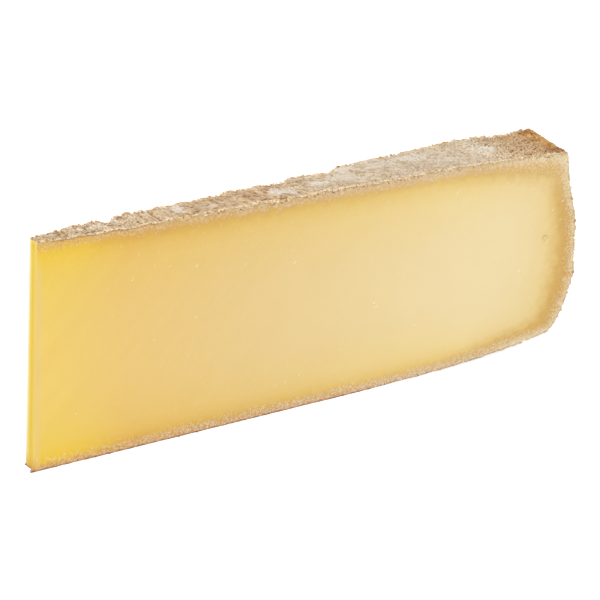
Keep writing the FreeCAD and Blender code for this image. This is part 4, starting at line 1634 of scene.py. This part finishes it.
class CheeseColours(bpy.types.PropertyGroup):
    # the paste colours from tip to heel are its own colour together with painted light that comes through the
    # thin end and makes it deeper yellow there
    paste_tip: colour_property("Paste, tip", "Paste at the trimmed tip", (244, 211, 114))
    paste_thin: colour_property("Paste, thin end", "Paste a little behind the tip", (240, 205, 126))
    paste_middle: colour_property("Paste, middle", "Paste in the middle of the wedge", (238, 209, 145))
    paste_thick: colour_property("Paste, thick end", "Paste towards the heel", (242, 218, 162))
    paste_heel: colour_property("Paste, heel", "Paste near the heel", (247, 227, 178))
    torn_grains: colour_property("Torn grains", "Pale grains in the band under the rind", (252, 240, 220))
    rind_tip: colour_property("Rind, tip", "Top rind at the tip", (244, 226, 196))
    rind_thin: colour_property("Rind, thin end", "Top rind a little behind the tip", (249, 233, 210))
    rind_middle: colour_property("Rind, middle", "Top rind in the middle of the wedge", (234, 211, 180))
    rind_worn: colour_property("Rind, worn part", "Worn, pale part of the top rind", (246, 233, 212))
    rind_grainy: colour_property("Rind, grainy part", "Grainy part of the top rind", (254, 243, 222))
    rind_heel: colour_property("Rind, near the heel", "Top rind near the heel's rim", (244, 218, 182))
    heel: colour_property("Heel", "Rind of the heel", (226, 190, 146))
    rubbed: colour_property("Rubbed patches", "Whitish rubbed patches", (240, 233, 222))
    crumb_dark: colour_property("Crumbs, dark", "Darkest crumbs", (156, 114, 68))
    crumb_ochre: colour_property("Crumbs, ochre", "Ochre crumbs", (212, 168, 108))
    crumb_cream: colour_property("Crumbs, cream", "Palest crumbs", (251, 240, 214))
    crystals: colour_property("Crystals", "Crystals in the paste", (251, 244, 222))


class StageSettings(bpy.types.PropertyGroup):
    fill: FloatProperty(name="Fill light", description="Even light from all round", default=0.48)
    key: FloatProperty(name="Main lamp", description="Power of the main lamp", default=12.5, unit="POWER")
    lens: FloatProperty(name="Lens", description="Focal length in millimetres", default=89.72)
    aim: FloatVectorProperty(name="Aim", description="Point the camera looks at",
                             default=(-0.008851, -0.000683, 0.049675), subtype="TRANSLATION", unit="LENGTH")
    distance: FloatProperty(name="Distance", description="Camera to that point", default=0.661, unit="LENGTH")
    azimuth: FloatProperty(name="Azimuth", description="Direction of view over the floor, from +X",
                           default=math.radians(57.635), subtype="ANGLE")
    elevation: FloatProperty(name="Elevation", description="How steeply the camera looks down",
                             default=math.radians(28.25), subtype="ANGLE")
    roll: FloatProperty(name="Roll", description="Turn of the camera about its view",
                        default=math.radians(2.93), subtype="ANGLE")


class CHEESE_OT_paste(bpy.types.Operator):
    """Builds the paste with its two cut faces and its trimmed tip"""
    bl_idname = "cheese.paste"
    bl_label = "Paste"

    def execute(self, context):
        scene = context.scene
        build_paste(Wheel(scene.cheese_sizes), paste_material(scene.cheese_colours))
        return {"FINISHED"}


class CHEESE_OT_rind(bpy.types.Operator):
    """Builds the rind over the top, the heel and the underside"""
    bl_idname = "cheese.rind"
    bl_label = "Rind"

    def execute(self, context):
        scene = context.scene
        build_rind(Wheel(scene.cheese_sizes), rind_material(scene.cheese_colours))
        return {"FINISHED"}


class CHEESE_OT_crumbs(bpy.types.Operator):
    """Scatters crumbs along the cut edges of the rind"""
    bl_idname = "cheese.crumbs"
    bl_label = "Crumbs"

    def execute(self, context):
        scene = context.scene
        build_crumbs(Wheel(scene.cheese_sizes), crumb_material(scene.cheese_colours), scene.cheese_sizes)
        return {"FINISHED"}


class CHEESE_OT_crystals(bpy.types.Operator):
    """Sets white crystals in the two cut faces"""
    bl_idname = "cheese.crystals"
    bl_label = "Crystals"

    def execute(self, context):
        scene = context.scene
        build_crystals(Wheel(scene.cheese_sizes), crystal_material(scene.cheese_colours), scene.cheese_sizes)
        return {"FINISHED"}


class CHEESE_OT_stage(bpy.types.Operator):
    """Builds the floor, the lamps, the world and the camera"""
    bl_idname = "cheese.stage"
    bl_label = "Stage"

    def execute(self, context):
        stage = context.scene.cheese_stage
        make_floor()
        make_world(stage)
        make_camera(stage)
        for name, place, aim, size, power in LAMPS:
            make_lamp(name, place, aim, size, stage.key * power)
        context.scene.view_settings.view_transform = "Standard"
        return {"FINISHED"}


class CHEESE_PT_panel(bpy.types.Panel):
    """Lists what builds the cheese"""
    bl_idname = "CHEESE_PT_panel"
    bl_label = "Cheese wedge"
    bl_space_type = "VIEW_3D"
    bl_region_type = "UI"
    bl_category = "Cheese"

    def draw(self, context):
        scene = context.scene
        for settings in (scene.cheese_sizes, scene.cheese_colours, scene.cheese_stage):
            box = self.layout.box()
            for name in settings.__annotations__:
                box.prop(settings, name)
        for operator in OPERATORS:
            self.layout.operator(operator.bl_idname)


GROUPS = (CheeseSizes, CheeseColours, StageSettings)
OPERATORS = (CHEESE_OT_paste, CHEESE_OT_rind, CHEESE_OT_crumbs, CHEESE_OT_crystals, CHEESE_OT_stage)


def register():
    for each in GROUPS + OPERATORS + (CHEESE_PT_panel,):
        bpy.utils.register_class(each)
    bpy.types.Scene.cheese_sizes = PointerProperty(type=CheeseSizes)
    bpy.types.Scene.cheese_colours = PointerProperty(type=CheeseColours)
    bpy.types.Scene.cheese_stage = PointerProperty(type=StageSettings)


def unregister():
    del bpy.types.Scene.cheese_sizes
    del bpy.types.Scene.cheese_colours
    del bpy.types.Scene.cheese_stage
    for each in reversed(GROUPS + OPERATORS + (CHEESE_PT_panel,)):
        bpy.utils.unregister_class(each)


def main():
    register()
    bpy.ops.cheese.paste()
    bpy.ops.cheese.rind()
    bpy.ops.cheese.crumbs()
    bpy.ops.cheese.crystals()
    bpy.ops.cheese.stage()


if __name__ == "__main__":
    main()
